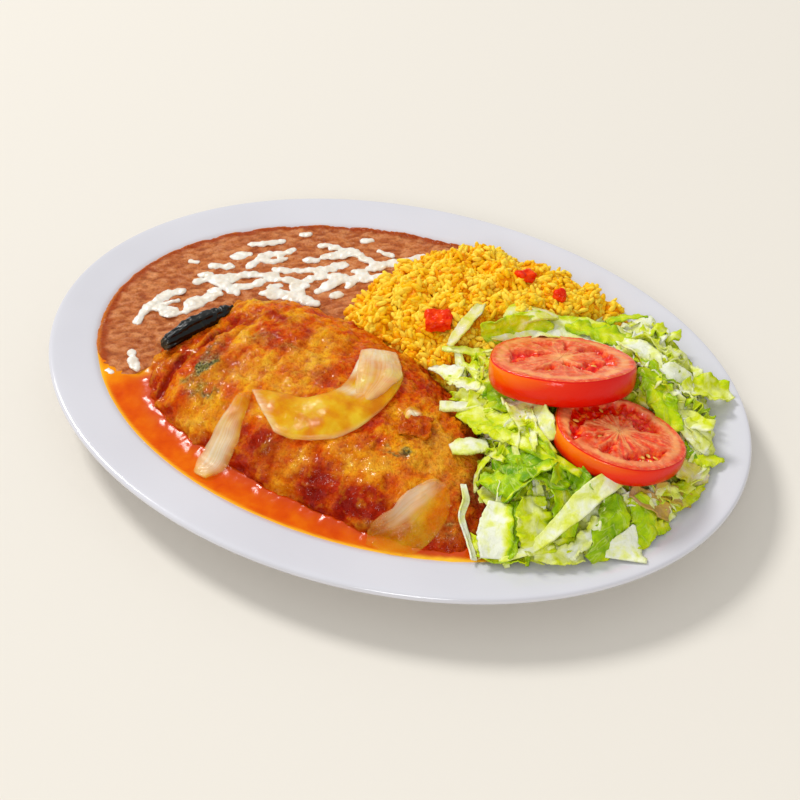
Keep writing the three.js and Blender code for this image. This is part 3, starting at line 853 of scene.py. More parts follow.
def onionLook():
    look = newLook("stewedOnion", Roughness=0.25, Coat_Weight=0.3, Coat_Roughness=0.06,
                   Subsurface_Weight=0.3,
                   Subsurface_Scale=0.001, Specular_IOR_Level=0.08)
    strip = node(look, "SeparateXYZ", {"Vector": attribute(look, "strip", "Vector")}).outputs
    lengthwise = node(look, "CombineXYZ", {"X": level(look, strip["X"], 0, 1, 0, 1.6),
                                           "Y": level(look, strip["Y"], 0, 1, 0, 13)}).outputs["Vector"]
    fibres = node(look, "TexNoise", {"Vector": lengthwise, "Scale": 1.0, "Detail": 4.0, "Roughness": 0.6})
    fibres = fibres.outputs["Fac"]
    amber = ramp(look, spread(look, 8, 4), (0.36, 234, 142, 0), (0.5, 244, 178, 4), (0.66, 250, 210, 40))
    cream = ramp(look, fibres, (0.3, 247, 221, 168), (0.6, 252, 240, 210))
    pale = figure(look, "ADD", strip["Z"], level(look, fibres, 0.3, 0.7, -0.12, 0.12))
    feed(look, "Base Color", stain(look, level(look, pale, 0.1, 0.9), amber, cream))
    feed(look, "Alpha", attribute(look, "strip", "Alpha"))
    feed(look, "Normal", relief(look, fibres, 0.12, relief(look, spread(look, 2.5, 3), 0.4)))
    return look


def drape(points, rows, columns, tree, lift):  # lays a grid of points on a surface without its small dips
    wellTop = onion["wellTop"] * mm
    tops = np.array([(onTop(tree, x, y) or Vector((x, y, 0))).z for x, y, _ in points])
    tops = np.maximum(tops, wellTop).reshape(rows, columns) + lift
    heights = tops.copy()
    for _ in range(14):
        padded = np.pad(heights, 1, mode="edge")
        heights = 0.25 * (padded[2:, 1:-1] + padded[:-2, 1:-1] + padded[1:-1, 2:] + padded[1:-1, :-2])
        heights = np.maximum(heights, tops)
    return heights.ravel()


def makePetal(part, shape, look):
    columns, rows = onion["grid"]
    bm = bmesh.new()
    bmesh.ops.create_grid(bm, x_segments=columns - 1, y_segments=rows - 1, size=0.5)
    flat = np.array([vert.co for vert in bm.verts])
    u = flat[:, 0] + 0.5
    v = flat[:, 1] * 2
    sides = []
    for edge in shape["edges"]:
        line = evened(alongLine(edge, 0.5), 25)
        far = np.linspace(0, 1, len(line))
        sides.append(np.stack([np.interp(u, far, line[:, k]) for k in range(2)], axis=1))
    share = (v * 0.5 + 0.5)[:, None]
    plan = sides[1] * (1 - share) + sides[0] * share
    points = np.concatenate([plan, np.zeros((len(u), 1))], axis=1) * mm
    points[:, :2] += np.array([fractal(points, 7 * mm, 2, shift) for shift in (2, 6)]).T * 0.5 * mm
    heights = drape(points, rows, columns, chileTree, shape["lift"] * mm)
    ends = ease(u, 0, 0.15) * ease(1 - u, 0, 0.15)
    points[:, 2] = heights + (shape["arch"] * (1 - v ** 2) * ends + 0.5 * onion["thick"]) * mm
    points[:, 2] += shape["lip"] * ease(v, 0.5, 1) * ends * mm
    points[:, 2] += fractal(points, 6 * mm, 3, 1) * 0.6 * mm
    for vert, point in zip(bm.verts, points):
        vert.co = point
    obj = meshFrom(bm, "onion" + part)
    cream = shape["cream"][0] * np.ones(len(u))
    for middle, across, wide, high, strength in shape["cream"][1:]:
        cream += strength * np.exp(-((u - middle) / wide) ** 2 - ((v - across) / high) ** 2)
    cream = np.clip(cream, 0, 1)
    solid = np.clip(shape["solid"] + 0.2 * cream, 0, 1) * (1 - 0.35 * v ** 4)
    paintPoints(obj, "strip", u * 3, v * 0.5 + 0.5, cream, solid, most=3)
    bake(obj, ("SOLIDIFY", {"thickness": onion["thick"] * mm, "offset": 0}),
         ("SUBSURF", {"levels": 1, "render_levels": 1}))
    cadNode = "onion_" + part.lower()
    return finish(obj, look, "stewed_onion", *[cadNode] * (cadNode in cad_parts))


def makeOnions():
    look = onionLook()
    for part, shape in onion["petals"].items():
        makePetal(part, shape, look)
    lump = onion["lump"]  # under batter
    chip = softCopy("onionChip", lump["grain"], lump["rounds"], "onion_chip")
    points = pointsOf(chip)
    middle = points.mean(axis=0)[:2]
    points[:, :2] += (points[:, :2] - middle) * lump["wider"] + np.array(lump["moved"]) * mm
    lumps = fractal(points, 3.5 * mm, 3)
    points += raised(chip, lumps * 1.5 - 0.9)
    movePoints(chip, points)
    # the alpha channel is the lump height: lighter on tips as painted highlight, darker in hollows as painted
    # shade
    paintPoints(chip, "crust", lump["red"], 0, 0, 0.45 + 0.5 * lumps)
    finish(chip, chileSkin.data.materials[0], "fried_batter", "onion_chip")


makeOnions()
print("onions made")


# ---- yellow rice

rice = {
    "seed": 11,
    "count": 4100,
    "length": (4.2, 6.2),
    "thick": (2.1, 2.9),
    "bend": 0.2,
    "grain": 1.5,  # of the core
    "rounds": 5,
    "sunk": (-0.6, 2.4),  # the core's skin under the grains, at the heap's foot and higher up
    "lumps": (10, 5.0),
    "flow": 8,
    "flowSeed": 19,
    "strayShare": 0.12,
}


def scatterCopies(template, name, spots):  # joined copies; a spot is (place, 3x3 turn and size, shade)
    points = pointsOf(template)
    places, turns, shades = [np.array(column) for column in zip(*spots)]
    allPoints = np.einsum("nij,kj->nki", turns, points) + places[:, None]
    faces = [tuple(face.vertices) for face in template.data.polygons]
    count = len(points)
    allFaces = [tuple(i + k * count for i in face) for k in range(len(spots)) for face in faces]
    mesh = bpy.data.meshes.new(name)
    mesh.from_pydata(allPoints.reshape(-1, 3).tolist(), [], allFaces)
    obj = newPiece(name, mesh)
    paintPoints(obj, "shade", *[np.repeat(shades, count)] * 3)
    bpy.data.objects.remove(template)
    return obj


def surfaceSpots(obj, count, rng, wanted):  # random places on a mesh, even by area, that pass a test
    mesh = obj.data
    faces = [face for face in mesh.polygons if wanted(face.center, face.normal)]
    areas = np.cumsum([face.area for face in faces])
    found = []
    for _ in range(count):
        face = faces[min(int(np.searchsorted(areas, rng.random() * areas[-1])), len(faces) - 1)]
        corners = [mesh.vertices[i].co for i in face.vertices]
        shares = [rng.random() + 0.05 for _ in corners]
        place = sum((c * s for c, s in zip(corners, shares)), Vector()) / sum(shares)
        found.append((place, face.normal.copy()))
    return found


def riceLook():
    look = newLook("yellowRice", Roughness=0.5, Subsurface_Weight=0.2, Subsurface_Scale=0.001,
                   Coat_Weight=0.12, Coat_Roughness=0.2, Specular_IOR_Level=0.06)
    # shade runs from dark orange, painted on the core and on low grains as painted shade, to pale yellow
    base = ramp(look, attribute(look, "shade", "Fac"), (0.0, 228, 122, 0), (0.3, 246, 166, 0),
                (0.65, 252, 197, 12), (1.0, 255, 222, 70))
    fine = ramp(look, spread(look, 1.6, 3), (0.35, 246, 234, 214), (0.6, 255, 255, 255))
    feed(look, "Base Color", stain(look, 0.6, base, fine, "MULTIPLY"))
    feed(look, "Normal", relief(look, spread(look, 1.1, 2), 0.12))
    return look


def makeRice():
    look = riceLook()
    core = softCopy("riceHeap", rice["grain"], rice["rounds"], "rice")
    points = pointsOf(core)
    size, height = rice["lumps"]
    lumps = fractal(points, size * mm, 2, 5)
    sunk = mix(*rice["sunk"], ease(points[:, 2], 19 * mm, 27 * mm))
    points += raised(core, lumps * height * ease(points[:, 2], 14 * mm, 22 * mm) - sunk)
    points += raised(core, fractal(points, 4.5 * mm, 2, 8) * 2.2)
    movePoints(core, points)
    # the core showing between the grains painted dark orange, as painted shade
    paintPoints(core, "shade", 0.2, 0.2, 0.2)
    finish(core, look, "yellow_rice", "rice")

    rng = random.Random(rice["seed"])
    lettuceTree = treeOf(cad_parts["lettuce"])

    def wanted(place, normal):  # not under the lettuce or in the chile
        if normal.z < -0.15 or place.z < 13 * mm:
            return False
        covered = lettuceTree.ray_cast(place + Vector((0, 0, 0.1)), Vector((0, 0, -1)))[0]
        if covered is not None and covered.z > place.z + 5 * mm:
            return False
        near, facing, _, _ = chileTree.find_nearest(place, 0.02)
        return near is None or (place - near).dot(facing) > -0.5 * mm

    bm = bmesh.new()
    bmesh.ops.create_uvsphere(bm, u_segments=6, v_segments=5, radius=0.5)
    for vert in bm.verts:
        vert.co.x += rice["bend"] * vert.co.z ** 2
    grain = meshFrom(bm, "grain")
    noise.seed_set(rice["flowSeed"])  # noise vectors change with the clock otherwise
    spots = []
    for place, normal in surfaceSpots(core, rice["count"], rng, wanted):
        stray = rng.random() < rice["strayShare"]
        flow = noise.noise_vector(place / (rice["flow"] * mm)) * 2.2
        loose = Vector([rng.gauss(0, 1) for _ in range(3)]) * 0.55
        across = normal.cross(flow + loose).normalized()
        along = (across + normal * rng.gauss(0, 0.8 if stray else 0.4)).normalized()
        roll = Matrix.Rotation(rng.uniform(0, turnRound), 3, "Z").to_quaternion()
        turn = (along.to_track_quat("Z", "Y") @ roll).to_matrix()
        length = rng.uniform(*rice["length"]) * mm
        thick = rng.uniform(*rice["thick"]) * mm
        matrix = turn @ Matrix.Diagonal((thick, thick * rng.uniform(0.8, 1.0), length))
        height = rng.uniform(-0.8, 1.4) + (rng.uniform(0.5, 1.6) if stray else 0)
        # lower grains painted darker orange as painted shade; the rest is random tint
        shade = 0.52 + 0.24 * height + 0.5 * noise.noise(place / (9 * mm)) + rng.gauss(0, 0.16)
        spots.append((place + normal * height * mm, matrix, min(max(shade, 0), 1)))
    finish(scatterCopies(grain, "riceGrains", spots), look, "yellow_rice")


makeRice()
print("rice made")


# ---- red pepper dice

dice = {
    "grain": 0.35,
    "rounds": 1,
    "bend": (4, 1.1),  # size and height
    "tones": [(0.35, 220, 24, 0), (0.65, 248, 74, 4)],
}


def makeDice():
    look = cloudyLook("cookedPepper", (3, 3), *dice["tones"], (1.2, 0.15), Roughness=0.3,
                      Subsurface_Weight=0.2,
                      Subsurface_Scale=0.002, Coat_Weight=0.15, Coat_Roughness=0.1, Specular_IOR_Level=0.05)
    size, height = dice["bend"]
    for part in ("front", "back", "side"):
        cadNode = "pepper_dice_" + part
        obj = softCopy(part + "PepperDice", dice["grain"], dice["rounds"], cadNode)
        points = pointsOf(obj)
        movePoints(obj, points + raised(obj, fractal(points, size * mm, 3, 2) * height))
        finish(obj, look, "red_pepper", cadNode)


makeDice()
print("dice made")


# ---- tomato slices

tomato = {
    "rings": 62,
    "around": 220,
    "gelDrop": 2.4,
    "seedSize": (1.35, 0.8, 0.45),
    "seedTones": [(0.35, 236, 168, 60), (0.65, 248, 206, 110)],
    # the edge from the cut face round to the underside: share of the radius, share of the thickness
    "rim": [(0.955, 0), (0.975, 0.02), (0.99, 0.07), (1.0, 0.2), (1.005, 0.45), (1.0, 0.7), (0.985, 0.88),
            (0.96, 0.97), (0.93, 1.0), (0.6, 1.0), (0.3, 1.0), (0, 1.0)],
    # each pocket is its outline on the slice's own flat face
    "upper": {
        "centre": (74.9, 13.0, 46), "facing": (-0.15, 0.349, 0.925), "radius": 30, "thick": 11.5, "seed": 4,
        "pockets": [
            [(-21, -3.6), (-16, -0.7), (-8.2, 3), (-4.5, 3.4), (-8, -1.6), (-11.6, -7), (-12.8, -13),
             (-15, -17)],
            [(-2.7, -21.4), (-1.4, -14), (0.2, -10.5), (2.2, -16)],
            [(2.4, -3.7), (5, -4.6), (9.4, -5.4), (11, 2), (12.2, 4.7), (15.9, 3), (17.3, 6.3), (21.3, 2.5),
             (16.8, -2),
             (19.3, -10), (13.7, -10), (9.4, -7.8), (5.6, -8)],
            [(1, 11), (2.8, 17), (6.3, 21), (10.8, 22), (16, 14), (21, 5), (19, 2.4), (12, 13.4), (7.4, 15),
             (4.5, 11.5)],
            [(-16, 11.6), (-10, 15), (-9, 13), (-13, 10)],
            [(-6.6, 20.5), (-5, 21), (-1, 11.2), (-2.2, 10.6)],
        ],
        # litSide and litFalloff: where and how widely the rind is painted lighter orange, as painted light
        "seeds": 7, "litSide": 215, "litFalloff": 1.6, "blush": 0.3,
    },
    "lower": {
        "centre": (110, -9.7, 40), "facing": (0.105, 0.265, 0.958), "radius": 26.6, "thick": 8.5, "seed": 9,
        "pockets": [
            [(-21, 0.4), (-18.5, 8), (-12.7, 14), (-8.9, 20), (-6, 17), (-7.5, 7), (-11, -1.3), (-14, -2.7),
             (-13, -8.9),
             (-10, -14), (-11.7, -20), (-16.6, -13.5)],
            [(-8, 20.7), (-4.4, 23), (0.9, 22.5), (6.9, 20.5), (12, 15), (13, 10.6), (7.6, 6), (3.4, 8),
             (0.9, 12),
             (-3, 11.6), (-6, 8.5)],
            [(-1.5, -19.7), (-0.5, -12), (1.2, -9), (2.4, -9.8), (2.2, -18.7)],
            [(7.6, -16.1), (10.6, -11.8), (14.4, -5.5), (15.4, -2.8), (19.2, 0.1), (19.5, -7.2),
             (17.7, -11.3),
             (12.4, -15), (8.6, -17.5)],
            [(-6.8, -8.7), (-4, -5.4), (-3.3, -8.6), (-5.6, -12)],
        ],
        "seeds": 12, "litSide": 215, "litFalloff": 0.9, "blush": 0.75,
    },
}


def insideOf(points, outline):  # how far inside a closed outline each place is in plan, negative outside
    inside = np.zeros(len(points), bool)
    x = points[:, 0] / mm
    y = points[:, 1] / mm
    for (ax, ay), (bx, by) in zip(outline, outline[1:] + outline[:1]):
        if ay != by:
            inside ^= ((ay > y) != (by > y)) & (x < (bx - ax) * (y - ay) / (by - ay) + ax)
    away = nearLine(points, outline + outline[:1])
    return np.where(inside, away, -away)


def tomatoLook():
    look = newLook("ripeTomato", Roughness=0.3, Coat_Weight=0.25, Coat_Roughness=0.07,
                   Subsurface_Weight=0.15,
                   Subsurface_Scale=0.002, Specular_IOR_Level=0.06)
    parts = painted(look, "cut")
    cloud = spread(look, 9, 2)
    grain = stain(look, 0.35, spread(look, 4, 4, 0.6), spread(look, 1.1, 4, 0.6))
    flesh = ramp(look, grain, (0.36, 214, 62, 26), (0.5, 232, 98, 50), (0.64, 250, 158, 106))
    gel = ramp(look, spread(look, 3, 4, 0.6), (0.38, 212, 4, 0), (0.52, 242, 34, 0), (0.64, 252, 124, 36))
    skinTone = ramp(look, parts["Blue"], (0.5, 220, 0, 0), (0.75, 242, 48, 0), (1.0, 252, 128, 4))
    whiter = ramp(look, cloud, (0.4, 244, 150, 96), (0.6, 250, 190, 112))
    inside = stain(look, parts["Red"], stain(look, parts["Green"], flesh, whiter), gel)
    onSide = level(look, parts["Blue"], 0.2, 0.3)
    feed(look, "Base Color", stain(look, onSide, inside, skinTone))
    feed(look, "Normal", relief(look, cloud, 0.3, relief(look, grain, 0.3)))
    feed(look, "Coat Weight", level(look, parts["Red"], 0, 1, 0.4, 0.7))
    return look


def makeSlice(part, shape, look):
    radius, thick = shape["radius"] * mm, shape["thick"] * mm
    face = [(share, 0) for share in np.linspace(0, 0.94, tomato["rings"])]
    bm = spun([(share * radius, -depth * thick) for share, depth in face + tomato["rim"]], tomato["around"])
    bmesh.ops.remove_doubles(bm, verts=bm.verts, dist=0.01 * mm)
    bmesh.ops.recalc_face_normals(bm, faces=bm.faces)
    obj = meshFrom(bm, part + "TomatoSlice")
    points = pointsOf(obj)
    share = np.hypot(points[:, 0], points[:, 1]) / radius
    angle = np.degrees(np.arctan2(points[:, 1], points[:, 0]))
    depth = -points[:, 2] / thick
    offset = shape["seed"] * 0.013
    away = points + np.array([offset, offset, 0])
    bent = points + np.array([fractal(away, 4 * mm, 3, shift) for shift in (1, 2, 3)]).T * 1.5 * mm
    onFace = (depth < 0.01) & (share < 0.96)
    gel = np.zeros(len(points))
    for outline in shape["pockets"]:
        gel = np.maximum(gel, ease(insideOf(bent, outline), -0.7 * mm, 0.3 * mm))
    gel *= onFace
    rays = np.stack([angle * 0.14, share * 1.6, np.full(len(points), shape["seed"])], axis=1)
    streak = fractal(rays * mm, 1 * mm, 3, 3)
    paleRays = ease(streak, 0.05, 0.4)
    core = 0.9 * np.exp(-(share / 0.15) ** 2) + 0.5 * paleRays * (1 - ease(share, 0.35, 0.7))
    ring = 0.5 * ease(share, 0.74, 0.82) * (1 - ease(share, 0.86, 0.93))
    brink = 0.55 * ease(share, 0.89, 0.95) * onFace
    middling = ease(share, 0.1, 0.2) * (1 - ease(share, 0.6, 0.78))
    brink += shape["blush"] * ease(-streak, 0.0, 0.3) * middling * onFace
    relieved = -gel * tomato["gelDrop"] * (1 + 0.6 * fractal(away, 3.5 * mm, 2, 4))
    relieved += 0.4 * fractal(away, 3 * mm, 3, 5) * onFace + 0.9 * paleRays * gel
    relieved += 0.35 * streak * (1 - gel) * onFace * (1 - ease(share, 0.7, 0.85))
    points[:, 2] += relieved * mm
    lobes = 1 + 0.018 * np.sin(3 * np.radians(angle) + 0.6) + 0.012 * np.sin(5 * np.radians(angle))
    points[:, :2] *= lobes[:, None]
    movePoints(obj, points)
    side = ease(depth, 0.004, 0.05) * (share > 0.9)
    # the rind painted lighter orange towards one side as painted light, and deeper red towards the underside
    # as painted shade
    litShare = 0.5 + 0.5 * np.cos(np.radians(angle - shape["litSide"]))
    skin = side * (0.5 + 0.5 * litShare ** shape["litFalloff"] * (1 - 0.7 * ease(depth, 0.2, 0.9)))
    paintPoints(obj, "cut", np.maximum(gel, brink), core + ring, skin)
    turn = Vector((0, 0, 1)).rotation_difference(Vector(shape["facing"]).normalized()).to_matrix()
    move = Matrix.Translation(Vector(shape["centre"]) * mm) @ turn.to_4x4()
    obj.data.transform(move)
    finish(obj, look, "tomato", "tomato_slice_" + part)
    return move


def makeSeeds(part, shape, look, move):
    rng = random.Random(shape["seed"])
    size = Matrix.Diagonal((*(Vector(tomato["seedSize"]) * mm), 1))
    bm = bmesh.new()
    for _ in range(shape["seeds"]):
        outline = rng.choice(shape["pockets"])
        start = rng.randrange(len(outline))
        corners = [outline[start], outline[(start + 1) % len(outline)], np.mean(outline, axis=0)]
        x, y = np.mean(corners, axis=0)
        place = Matrix.Translation(Vector((x, y, -tomato["gelDrop"] * 0.75)) * mm)
        turn = Matrix.Rotation(math.atan2(y, x) + rng.uniform(-0.4, 0.4), 4, "Z")
        lean = Matrix.Rotation(rng.uniform(-0.3, 0.3), 4, "X")
        matrix = move @ place @ turn @ lean @ size
        bmesh.ops.create_uvsphere(bm, u_segments=14, v_segments=9, radius=1, matrix=matrix)
    finish(meshFrom(bm, part + "TomatoSeeds"), look, "tomato")


def makeTomatoes():
    look = tomatoLook()
    seedLook = cloudyLook("tomatoSeed", (1.5, 2), *tomato["seedTones"], Roughness=0.25,
                          Subsurface_Weight=0.3,
                          Subsurface_Scale=0.002)
    for part in ("upper", "lower"):
        move = makeSlice(part, tomato[part], look)
        makeSeeds(part, tomato[part], seedLook, move)


makeTomatoes()
print("tomatoes made")


# ---- shredded lettuce

lettuce = {
    "seed": 23,
    "grain": 1.8,  # of the core
    "rounds": 6,
    "sunk": 3.6,
    "rough": (7, 2.0),  # size and height
    "through": 0.12,  # how much light passes a leaf
    "clear": (0.8, 0.4),  # beside and below a tomato slice
    "leafSteps": (36, 15),
    "shredSteps": (14, 7),
    "shredThick": 0.45,
    # loose shreds in each part of the heap: how many, range in plan, length, width, how green, and
    # height above it
    "shreds": [
        (150, (20, 150), (-90, 95), (11, 24), (3.5, 9), 0.40, (-4, 0.8)),
        (34, (84, 150), (22, 95), (16, 30), (5, 10), 0.3, (-0.5, 2.5)),
        (28, (112, 150), (-35, 22), (15, 28), (5, 10), 0.36, (-0.5, 2.5)),
        (50, (20, 62), (-14, 20), (8, 17), (1.8, 4.5), 0.36, (-1, 3)),
        (34, (34, 84), (-38, -2), (14, 28), (2.2, 4.6), 0.34, (1, 4)),
        (16, (60, 124), (-72, -34), (10, 22), (1.8, 4), 0.5, (0.5, 3)),
        (12, (100, 146), (0, 60), (14, 24), (2.4, 4.5), 0.34, (0, 3)),
    ],
    # pieces laid one by one: thickness, widths, roll, ruffle, shade across it, amber, and places along it;
    # the shade runs from 0 white rib to 1 deep green
    # amber paints a piece brown-orange: painted shade for pieces in shade beside the tomato slices, a warm
    # tint for some pale ones
    "laid": [
        ("back", 0.5, (7, 12, 15, 16, 14, 8), -14, 1.4, (0.4, 0.16, 0.06, 0.2), 0,
         [(38, 23.5, 36.5), (47, 31.5, 37.2), (57.5, 39, 36.2), (67.5, 46, 34), (79, 49, 32.6),
          (91, 50, 31)]),
        ("backGreen", 0.5, (8, 11, 12, 8, 3), -6, 1.6, (0.6, 0.52, 0.36, 0.55), 0,
         [(35.5, 20.5, 37.6), (42, 26, 38.2), (48.5, 31.5, 38.2), (55, 36.5, 37.6), (61, 40, 36.6)]),
        ("backFar", 0.5, (3, 8, 11, 11, 5), -12, 1.6, (0.7, 0.4, 0.5, 0.7), 0,
         [(64, 45, 35.6), (73, 48, 34.8), (81, 50, 33.6), (89, 51, 32.6), (96, 51, 31.6)]),
        ("backRound", 1.0, (2, 10, 14, 16, 14, 10, 2), -5, 0.1, (0.22, 0.16, 0.22), 0.15,
         [(40, 33.5, 38.5), (43, 36.5, 39.3), (46, 39, 39.6), (49.5, 41.5, 39.4), (53, 43.5, 39),
          (56.5, 45.5, 38),
          (60, 46.5, 37)]),
        ("riceStrip", 0.7, (4, 7, 8, 7, 3), 8, 0.2, (0.24, 0.12, 0.16), 0.22,
         [(28, 36, 39.5), (28.5, 30, 39.5), (28, 23, 38.5), (27, 17, 37), (25.5, 10, 34.5)]),
        ("riceShred", 0.7, (2.5, 3.5, 4, 3), -10, 0.4, (0.4, 0.25, 0.3), 0,
         [(23, 8, 33.5), (31, 11, 33.5), (37, 13, 33), (44, 17, 33)]),
        ("fallingShred", 0.7, (2.5, 3.8, 3.8, 2), 15, 0.3, (0.25, 0.1, 0.2), 0,
         [(28.5, 11, 33), (31.5, 8, 31.5), (34.5, 4, 29), (38, -1, 27)]),
        ("whiteLeft", 0.7, (1.5, 5, 8, 9), 10, 0.3, (0.05, 0.02, 0.15), 0,
         [(20.5, 1, 26.5), (25, 1.5, 27.5), (30, 1, 28), (36, 0, 29)]),
        ("whiteUnder", 0.6, (5, 7, 7, 5), 40, 0.6, (0.08, 0.04, 0.2), 0,
         [(33, -3, 27), (37, -4, 29), (42, -6, 31), (47, -9, 33)]),
        ("clusterA", 0.5, (3, 6, 7, 5), 20, 1.8, (0.5, 0.2, 0.35), 0,
         [(33, 7, 30), (40, 4, 32), (47, 0, 34), (54, -5, 36)]),
        ("clusterB", 0.5, (2, 5, 7, 6), -15, 1.6, (0.4, 0.15, 0.3), 0,
         [(31, -1, 27), (38, -3, 29), (46, -6, 32), (54, -9, 34.5)]),
        ("clusterC", 0.5, (3, 5, 6, 4), 30, 2.0, (0.5, 0.3, 0.5), 0,
         [(36, 12, 32), (42, 9, 34), (49, 3, 36), (55, -2, 38)]),
        ("clusterD", 0.5, (3, 7, 7, 4), -35, 2.0, (0.45, 0.3, 0.4), 0,
         [(38, -12, 28.5), (43, -12, 30.5), (49, -14, 32), (55, -16, 33)]),
        ("smallWhite", 1.2, (5, 5, 4, 4), 5, 0.2, (0.1, 0.02, 0.15), 0,
         [(37.5, -22.5, 31), (41, -21, 31), (46, -17.5, 30.5), (51, -14, 31)]),
        ("paleChunk", 2.0, (5, 9, 10, 8), 0, 0.2, (0.2, 0.1, 0.3), 0,
         [(53, -43, 31.5), (56, -40, 32), (60, -36, 31.5), (64, -33, 31)]),
        ("yellowLeaf", 0.5, (5, 11, 15, 14, 8), 18, 1.2, (0.42, 0.36, 0.45), 0,
         [(45, -21, 29.5), (51, -20, 31), (58, -23, 33), (67, -28, 36.5), (76, -32, 39)]),
        ("greenCurl", 0.5, (6, 11, 11, 7), -25, 2.2, (0.5, 0.9, 0.5), 0,
         [(51, -10, 33), (56, -11, 36), (61, -13, 38), (66, -15, 39)]),
        ("whiteMid", 0.8, (6, 12, 15, 14, 10), 10, 1.2, (0.25, 0.1, 0.2), 0,
         [(63, -13, 39), (69, -16.5, 41), (75, -20, 42), (81, -24, 42), (88, -30, 41)]),
        ("midYellow", 0.5, (4, 9, 11, 9, 5), -10, 1.0, (0.4, 0.34, 0.5), 0,
         [(58, -19, 33.5), (66, -23, 37), (74, -27, 40), (83, -32, 41), (93, -36, 40)]),
        ("stem", 1.2, (2.5, 4.5, 5.5, 5, 3.5), 0, 0.3, (0.5, 0.35, 0.5), 0,
         [(58, -28, 33.5), (70, -32, 38.5), (83, -36, 41), (95, -38, 41), (106, -38.5, 39.5)]),
        ("leafWide", 0.4, (8, 15, 18, 16, 10), 22, 1.6, (0.95, 0.7, 0.9), 0,
         [(71, -41, 33), (79, -42, 37.5), (87, -43, 40), (96, -44, 40), (104, -45, 38)]),
        ("leafTip", 0.4, (2, 11, 16, 14), 10, 1.4, (0.8, 0.65, 0.8), 0,
         [(69, -52, 28.5), (75, -51, 33.5), (82, -51.5, 37), (89, -52, 38)]),
        ("leafOval", 0.4, (3, 10, 12, 10, 4), 30, 0.6, (0.9, 0.45, 0.35, 0.9), 0,
         [(83, -60, 33), (86, -55, 37), (89, -50, 40), (92, -45, 41.5), (96, -40, 42)]),
        ("whiteChunk", 1.2, (9, 13, 14, 10), 5, 0.3, (0.6, 0.1, 0.03, 0.05), 0,
         [(82.5, -60.5, 32.5), (84.5, -66.5, 31.2), (87, -72.5, 27.4), (89.5, -78.5, 22.6)]),
        ("yellowFold", 0.5, (5, 9, 10, 7), -20, 1.0, (0.6, 0.7, 0.5), 0,
         [(87, -58, 33.5), (89, -64, 31.5), (91, -70, 27), (93, -76, 22)]),
        ("crinkle", 0.5, (9, 14, 15, 10), 15, 2.0, (0.55, 0.25, 0.4), 0,
         [(93, -55, 36.5), (96, -60, 34), (100, -65, 30), (104, -70, 24.5)]),
        ("centreFold", 0.5, (6, 10, 11, 10, 5), 28, 1.2, (0.75, 0.3, 0.65), 0,
         [(96, -39, 42), (99, -44, 40), (103, -49, 37), (107, -54, 33), (111, -60, 28)]),
        ("leafBack", 0.4, (6, 9, 8, 5), -30, 1.4, (0.9, 0.7, 0.85), 0,
         [(103, -37, 40), (107, -41, 38), (110, -45, 36), (111, -50, 33)]),
        ("frontRib", 1.1, (8, 9, 9, 7, 5, 3.5, 2.5), 5, 0.3, (0.2, 0.15, 0.25), 0,
         [(118, -32, 39), (114.5, -41, 39.2), (111.5, -49, 37.4), (108.5, -57, 34.4), (104.5, -65, 30),
          (99, -72, 25.4),
          (91, -78, 22)]),
        ("wavyWhite", 0.7, (3, 6, 7, 5), -20, 1.4, (0.15, 0.05, 0.3), 0,
         [(117, -49, 32), (118, -54, 29), (115.5, -60, 26), (113, -65, 23)]),
        ("rightGreen", 0.4, (7, 12, 14, 12, 6), 12, 1.6, (0.6, 0.85, 0.75), 0,
         [(120, -38, 35), (122.5, -44, 32), (124, -50, 28.5), (123.5, -56, 25), (121, -62, 21.5)]),
        ("farRight", 0.4, (6, 11, 12, 10, 5), -15, 1.2, (0.5, 0.7, 0.6), 0,
         [(126, -33, 33), (130.5, -35, 29.5), (133.5, -38, 25.5), (133.5, -43, 23), (131, -48, 21)]),
        ("whiteTriangle", 0.7, (1, 6, 11, 15, 17), 0, 0.3, (0.12, 0.02, 0.08), 0,
         [(130, -42, 27), (130, -45, 25.5), (130.5, -48.5, 24), (131, -52, 22.5), (132, -55, 21.3)]),
        ("amberA", 0.6, (7, 9, 9, 6), 10, 0.5, (0.2, 0.1, 0.2), 0.75,
         [(124, -32, 34), (130, -31, 30.5), (135, -29, 26.5), (139, -27, 23)]),
        ("amberB", 0.6, (5, 8, 8, 5), -10, 0.5, (0.3, 0.1, 0.3), 0.7,
         [(131, -23, 29.5), (136, -20, 26.5), (140, -17, 23.5), (144, -15, 21.5)]),
        ("rightTip", 0.5, (4, 6, 5, 1.5), 10, 1.0, (0.6, 0.4, 0.5), 0.15,
         [(138, -23, 22), (141.5, -18, 23), (144, -12, 23.5), (146, -6, 22.5)]),
        ("littleBit", 0.6, (4, 6, 5, 2), 0, 0.8, (0.5, 0.3, 0.5), 0.1,
         [(135, -37, 22.5), (137.5, -35, 23), (139.5, -33, 22), (141, -31, 21)]),
        ("rightPale", 0.6, (8, 10, 8, 3), 0, 1.0, (0.25, 0.12, 0.3), 0.35,
         [(134, -8, 29), (138, -6, 27), (142, -3, 24), (146, 0, 21.5)]),
        ("rightShred", 0.6, (4, 6, 5, 2), 15, 0.8, (0.5, 0.35, 0.45), 0,
         [(138, 1, 26), (141, 5, 24.5), (144, 9, 23), (148, 13, 22)]),
        ("rightRib", 1.1, (4, 6, 7, 6), 0, 0.4, (0.3, 0.15, 0.2), 0,
         [(125, 16, 31.5), (130, 13, 31), (135.5, 12, 28.5), (141, 12, 25.5)]),
        ("sprig", 0.4, (5, 8, 8, 3), 20, 2.2, (0.6, 0.4, 0.55), 0,
         [(125, 30, 31), (130, 31, 29.5), (134, 30, 27), (138, 28, 24.5)]),
        ("fan", 0.4, (3, 9, 13, 15, 8), 0, 1.2, (0.4, 0.2, 0.35), 0,
